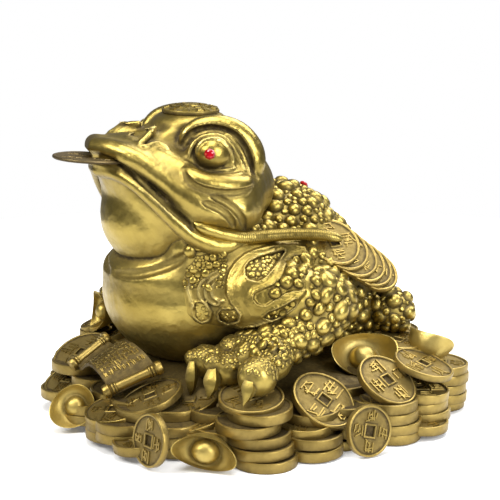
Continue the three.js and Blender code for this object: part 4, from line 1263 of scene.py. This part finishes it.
def plug(tree, made, sockets):
    """Sets sockets to numbers or colours, or links them to other nodes' outputs."""
    for key, value in sockets.items():
        if isinstance(value, bpy.types.NodeSocket):
            tree.links.new(value, made.inputs[key])
        else:
            made.inputs[key].default_value = (*value, 1) if isinstance(value, tuple) else value


def node(tree, kind, output, sockets=None, **settings):
    """A new node's output."""
    made = tree.nodes.new("ShaderNode" + kind)
    for name, value in settings.items():
        setattr(made, name, value)
    plug(tree, made, sockets or {})
    return made.outputs[output]


def new_material(name):
    material = bpy.data.materials.new(name)
    material.use_nodes = True
    tree = material.node_tree
    return material, tree, tree.nodes["Principled BSDF"]


def ramp(tree, source, low, high):
    return node(tree, "MapRange", "Result", {"Value": source, "From Min": low, "From Max": high})


def mix_colour(tree, share, a, b):
    return node(tree, "Mix", 2, {0: share, 6: a, 7: b}, data_type="RGBA")


def noise(tree, coords, scale, detail=3.0, rough=0.55):
    sockets = {"Vector": coords, "Scale": scale, "Detail": detail, "Roughness": rough}
    return node(tree, "TexNoise", "Fac", sockets)


def brass(name, body, tint, smooth, grain, patina_shade_depth, uneven=0.0):
    """Cast brass: worn pale on its edges, dark brown with patina in its hollows and with painted shade on
    undersides, gaps between pieces and low parts, its surface uneven by so many metres.
    """
    material, tree, shader = new_material(name)

    def sums(operation, a, b):
        return node(tree, "Math", 0, {0: a, 1: b}, operation=operation, use_clamp=True)

    def times(a, b):
        return sums("MULTIPLY", a, b)

    coords = node(tree, "TexCoord", "Object")
    hollow = node(tree, "Attribute", "Fac", attribute_name="patina_and_shade")
    worn = node(tree, "Attribute", "Fac", attribute_name="worn")
    specks = ramp(tree, noise(tree, coords, 420, 4, 0.6), 0.3, 0.7)
    colour = mix_colour(tree, ramp(tree, noise(tree, coords, 28), 0.35, 0.65), body, tint)
    colour = mix_colour(tree, times(worn, 0.5), colour, PALE)
    # Patina and painted shade from the painted tone, mixed towards dark brown, rougher and less metallic.
    patina_shade = times(times(hollow, sums("ADD", times(specks, 0.35), 0.75)), patina_shade_depth)
    fine = sums("ADD", times(specks, 0.5), times(noise(tree, coords, 900, 5, 0.6), 0.5))
    bump = node(tree, "Bump", "Normal", {"Strength": grain, "Distance": 0.0004, "Height": fine})
    wavy = {"Strength": 1.0 if uneven else 0.0, "Distance": uneven, "Normal": bump,
            "Height": noise(tree, coords, 75, 2.5, 0.5)}
    plug(tree, shader, {
        "Base Color": mix_colour(tree, patina_shade, colour, DARK),
        "Roughness": sums("ADD", sums("ADD", times(specks, 0.10), smooth), times(patina_shade, 0.35)),
        "Metallic": sums("SUBTRACT", 1.0, times(patina_shade, 0.4)),
        "Normal": node(tree, "Bump", "Normal", wavy),
    })
    return material


def red_stone():
    material, tree, shader = new_material("red_stone")
    cloud = ramp(tree, noise(tree, node(tree, "TexCoord", "Object"), 500), 0.3, 0.7)
    colour = mix_colour(tree, cloud, (0.40, 0.003, 0.010), (0.20, 0.001, 0.004))
    plug(tree, shader, {"Base Color": colour, "Roughness": 0.08})
    return material


BRASS = brass("brass", GOLD, OLIVE, 0.28, 0.3, 0.95, 0.0012)
COIN_BRASS = brass("coin_brass", (0.42, 0.305, 0.09), (0.27, 0.19, 0.05), 0.31, 0.4, 0.95, 0.0004)
LOOSE_BRASS = brass("loose_brass", (0.22, 0.165, 0.075), (0.15, 0.11, 0.05), 0.36, 0.35, 0.9)
CARVED_BRASS = brass("carved_brass", (0.34, 0.25, 0.062), (0.22, 0.16, 0.035), 0.34, 0.4, 0.95, 0.0008)
INGOT_BRASS = brass("ingot_brass", (0.52, 0.40, 0.13), (0.36, 0.265, 0.07), 0.4, 0.3, 0.7, 0.0008)
RED = red_stone()


# How far out hollows are felt, in millimetres, and the share of each reach: patina and painted occlusion
# shade, also from gaps to neighbouring pieces
HOLLOW_REACHES = [(0.8, 0.25), (1.6, 0.3), (3.0, 0.25), (7.0, 0.3)]
EDGE_DEPTH = 1.3


def shade_field(obj, own, others, shift):
    """Marks hollows and edges from the distances just outside and just inside the surface: hollows get patina
    and painted shade, gaps to other pieces and undersides get painted shade, and the skin is darker towards
    the bottom.
    """
    flat = np.empty(len(obj.data.vertices) * 3, np.float32)
    obj.data.vertices.foreach_get("co", flat)
    p = flat.reshape(-1, 3) / MM - SHIFT
    half = folded(p - np.outer(p[:, 0] < 0, shift))
    n = own.slope(half)
    hollow = np.zeros(len(p))
    # Painted occlusion shade and patina: darker where the surface, or a neighbouring piece, lies close
    # outside.
    for reach, share in HOLLOW_REACHES:
        spots = half + n * reach
        near = own.at(spots)
        for other in others:
            near = np.minimum(near, np.where(other.holds(spots), other.at(spots), FAR))
        hollow += share * np.clip(1 - near / reach, 0, 1)
    edge = np.clip(1 + own.at(half - n * EDGE_DEPTH) / EDGE_DEPTH, 0, 1)
    # Darker towards the bottom, below 38 millimetres.
    soil_and_shade = np.maximum(own.at(half, own.soil_and_shade), 0.55 * np.clip((38 - p[:, 2]) / 14, 0, 1))
    # Painted shade on faces that look down.
    soil_and_shade = np.maximum(soil_and_shade, 0.5 * np.clip(-1.3 * n[:, 2], 0, 1))
    paint(obj, "patina_and_shade", np.clip(np.maximum(hollow * 1.9 - 0.12, soil_and_shade), 0, 1))
    paint(obj, "worn", np.clip(edge * 1.6 - 0.25, 0, 1) * np.clip(1 - hollow * 3, 0, 1))


def dress(obj, material, replaced):
    obj.data.materials.append(material)
    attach(obj, "root")
    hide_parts(replaced)


STILL = (0, 0, 0)
# How much closer to the body the right hand lies than a mirror image of the left
RIGHT_HAND_SHIFT = (6.0, 4.0, 0.0)


def build_toad():
    warts, fine, scales = Heap(), Heap(), Heap()
    head, body = head_field(), body_field(warts)
    shoulder, feet = shoulder_field(fine), feet_field(scales)
    for name, field, others, shift, material in (
            ("toad_head", head, [body, feet], STILL, BRASS), ("toad_body", body, [head, feet], STILL, BRASS),
            ("toad_shoulders", shoulder, [head], STILL, CARVED_BRASS),
            ("toad_feet", feet, [body], RIGHT_HAND_SHIFT, BRASS)):
        obj = field.mesh(name, shift)
        shade_field(obj, field, others, shift)
        dress(obj, material, "toad_casting")
    for name, heap, shift in (("warts", warts, STILL), ("fine_warts", fine, STILL),
                              ("scales_and_claws", scales, RIGHT_HAND_SHIFT)):
        dress(heap.mirror(shift).object(name), BRASS, "toad_casting")
    return body


def build_hoard():
    rng = np.random.default_rng(20)
    coins_seen, hidden, inner, ingots, mound = Heap(), Heap(), Heap(), Heap(), Heap()
    seen_hoard(coins_seen, ingots, rng)
    hidden_hoard(hidden, ingots, rng)
    inner_hoard(inner, rng)
    mound.add(mound_shape(), move=HOARD_MIDDLE)
    for name, heap, material in (
            ("hoard_coins_seen", coins_seen, COIN_BRASS), ("hoard_coins_behind", hidden, COIN_BRASS),
            ("hoard_coins_inner", inner, COIN_BRASS), ("hoard_ingots", ingots, INGOT_BRASS),
            ("hoard_mound", mound, COIN_BRASS), ("scroll", scroll_heap(rng), COIN_BRASS),
            ("whiskers", whisker_heap(), BRASS), ("flank_coins", flank_heap(), COIN_BRASS),
            ("crown_disc", crown_heap(), BRASS)):
        dress(heap.object(name), material, "toad_casting")


def build_stones(body):
    """The eyes' stones on the eyeballs and the others on their seats on the back."""
    for side, name in ((1, "eye_stone_left"), (-1, "eye_stone_right")):
        flip = (side, 1, 1)
        set_stone(name, 5.0, np.array(EYE) * flip + GAZE * flip * (EYE_RADIUS - 0.3), GAZE * flip)
    for name, middle in BACK_STONES.items():
        seat = body.settle([middle])
        axis = body.slope(seat)[0]
        set_stone(name, 4.6, seat[0] + axis * 0.5, axis)


def build_mouth_coin():
    heap = Heap()
    c, s = cos_sin(5)
    for shape in coin_shape(16.5, 77, 1.4, 3.5, 1.6, 0.22, True):
        heap.add(shape, axes_of((0, s, c), 8), MOUTH_COIN_CENTRE)
    dress(heap.object("loose_coin"), LOOSE_BRASS, "mouth_coin")


# Stage, in metres

LIGHTS_AIM = Vector((0, 0, 0.07))
# Area lights: place, width and depth, watts and colour
LIGHTS = {
    "key": ((0.1, -1.0, 0.95), (0.55, 0.55), 17, (1.0, 0.99, 0.96)),
    "top": ((0.15, -0.1, 1.3), (0.8, 0.8), 16, WHITE),
    "right": ((1.1, 0.2, 0.55), (0.4, 0.7), 12.5, (0.97, 0.98, 1.0)),
    "behind": ((-0.25, 0.85, 1.0), (1.0, 0.6), 15, WHITE),
}
FLOOR_RADIUS = 0.45
FLOOR_DROP = -0.0002


def build_lights():
    for name, (spot, size, power, colour) in LIGHTS.items():
        data = bpy.data.lights.new(name, "AREA")
        data.shape = "RECTANGLE"
        data.size, data.size_y = size
        data.energy = power
        data.color = colour
        obj = linked(name, data)
        obj.location = spot
        obj.rotation_euler = (LIGHTS_AIM - Vector(spot)).to_track_quat("-Z", "Y").to_euler()


def build_stage():
    bpy.ops.mesh.primitive_circle_add(vertices=96, radius=FLOOR_RADIUS, fill_type="NGON",
                                      location=(0, 0, FLOOR_DROP))
    floor = bpy.context.object
    floor.name = "floor"
    material, tree, shader = new_material("floor")
    plug(tree, shader, {"Base Color": (0.86, 0.86, 0.86), "Roughness": 0.7, "Emission Color": WHITE,
                        "Emission Strength": 0.12})
    floor.data.materials.append(material)
    world = bpy.data.worlds.new("studio")
    bpy.context.scene.world = world
    world.use_nodes = True
    tree = world.node_tree
    room = tree.nodes["Background"]
    plug(tree, room, {0: (0.86, 0.88, 0.92), 1: 0.2})
    white = node(tree, "Background", 0, {0: WHITE, 1: 1.0})
    seen_plain = node(tree, "LightPath", "Is Camera Ray")
    both = node(tree, "MixShader", 0, {0: seen_plain, 1: room.outputs[0], 2: white})
    plug(tree, tree.nodes["World Output"], {"Surface": both})
    bpy.context.scene.view_settings.view_transform = "Standard"


def build_camera():
    data = bpy.data.cameras.new("camera")
    data.sensor_width = 36
    data.lens = FOCAL / PHOTO * data.sensor_width
    obj = linked("camera", data)
    turn = Matrix((RIGHT, UP, BACK)).transposed()
    obj.matrix_world = Matrix.Translation(Vector((EYE_POINT + SHIFT) * MM)) @ turn.to_4x4()
    bpy.context.scene.camera = obj


toad_body = build_toad()
build_hoard()
build_stones(toad_body)
build_mouth_coin()
build_stage()
build_lights()
build_camera()
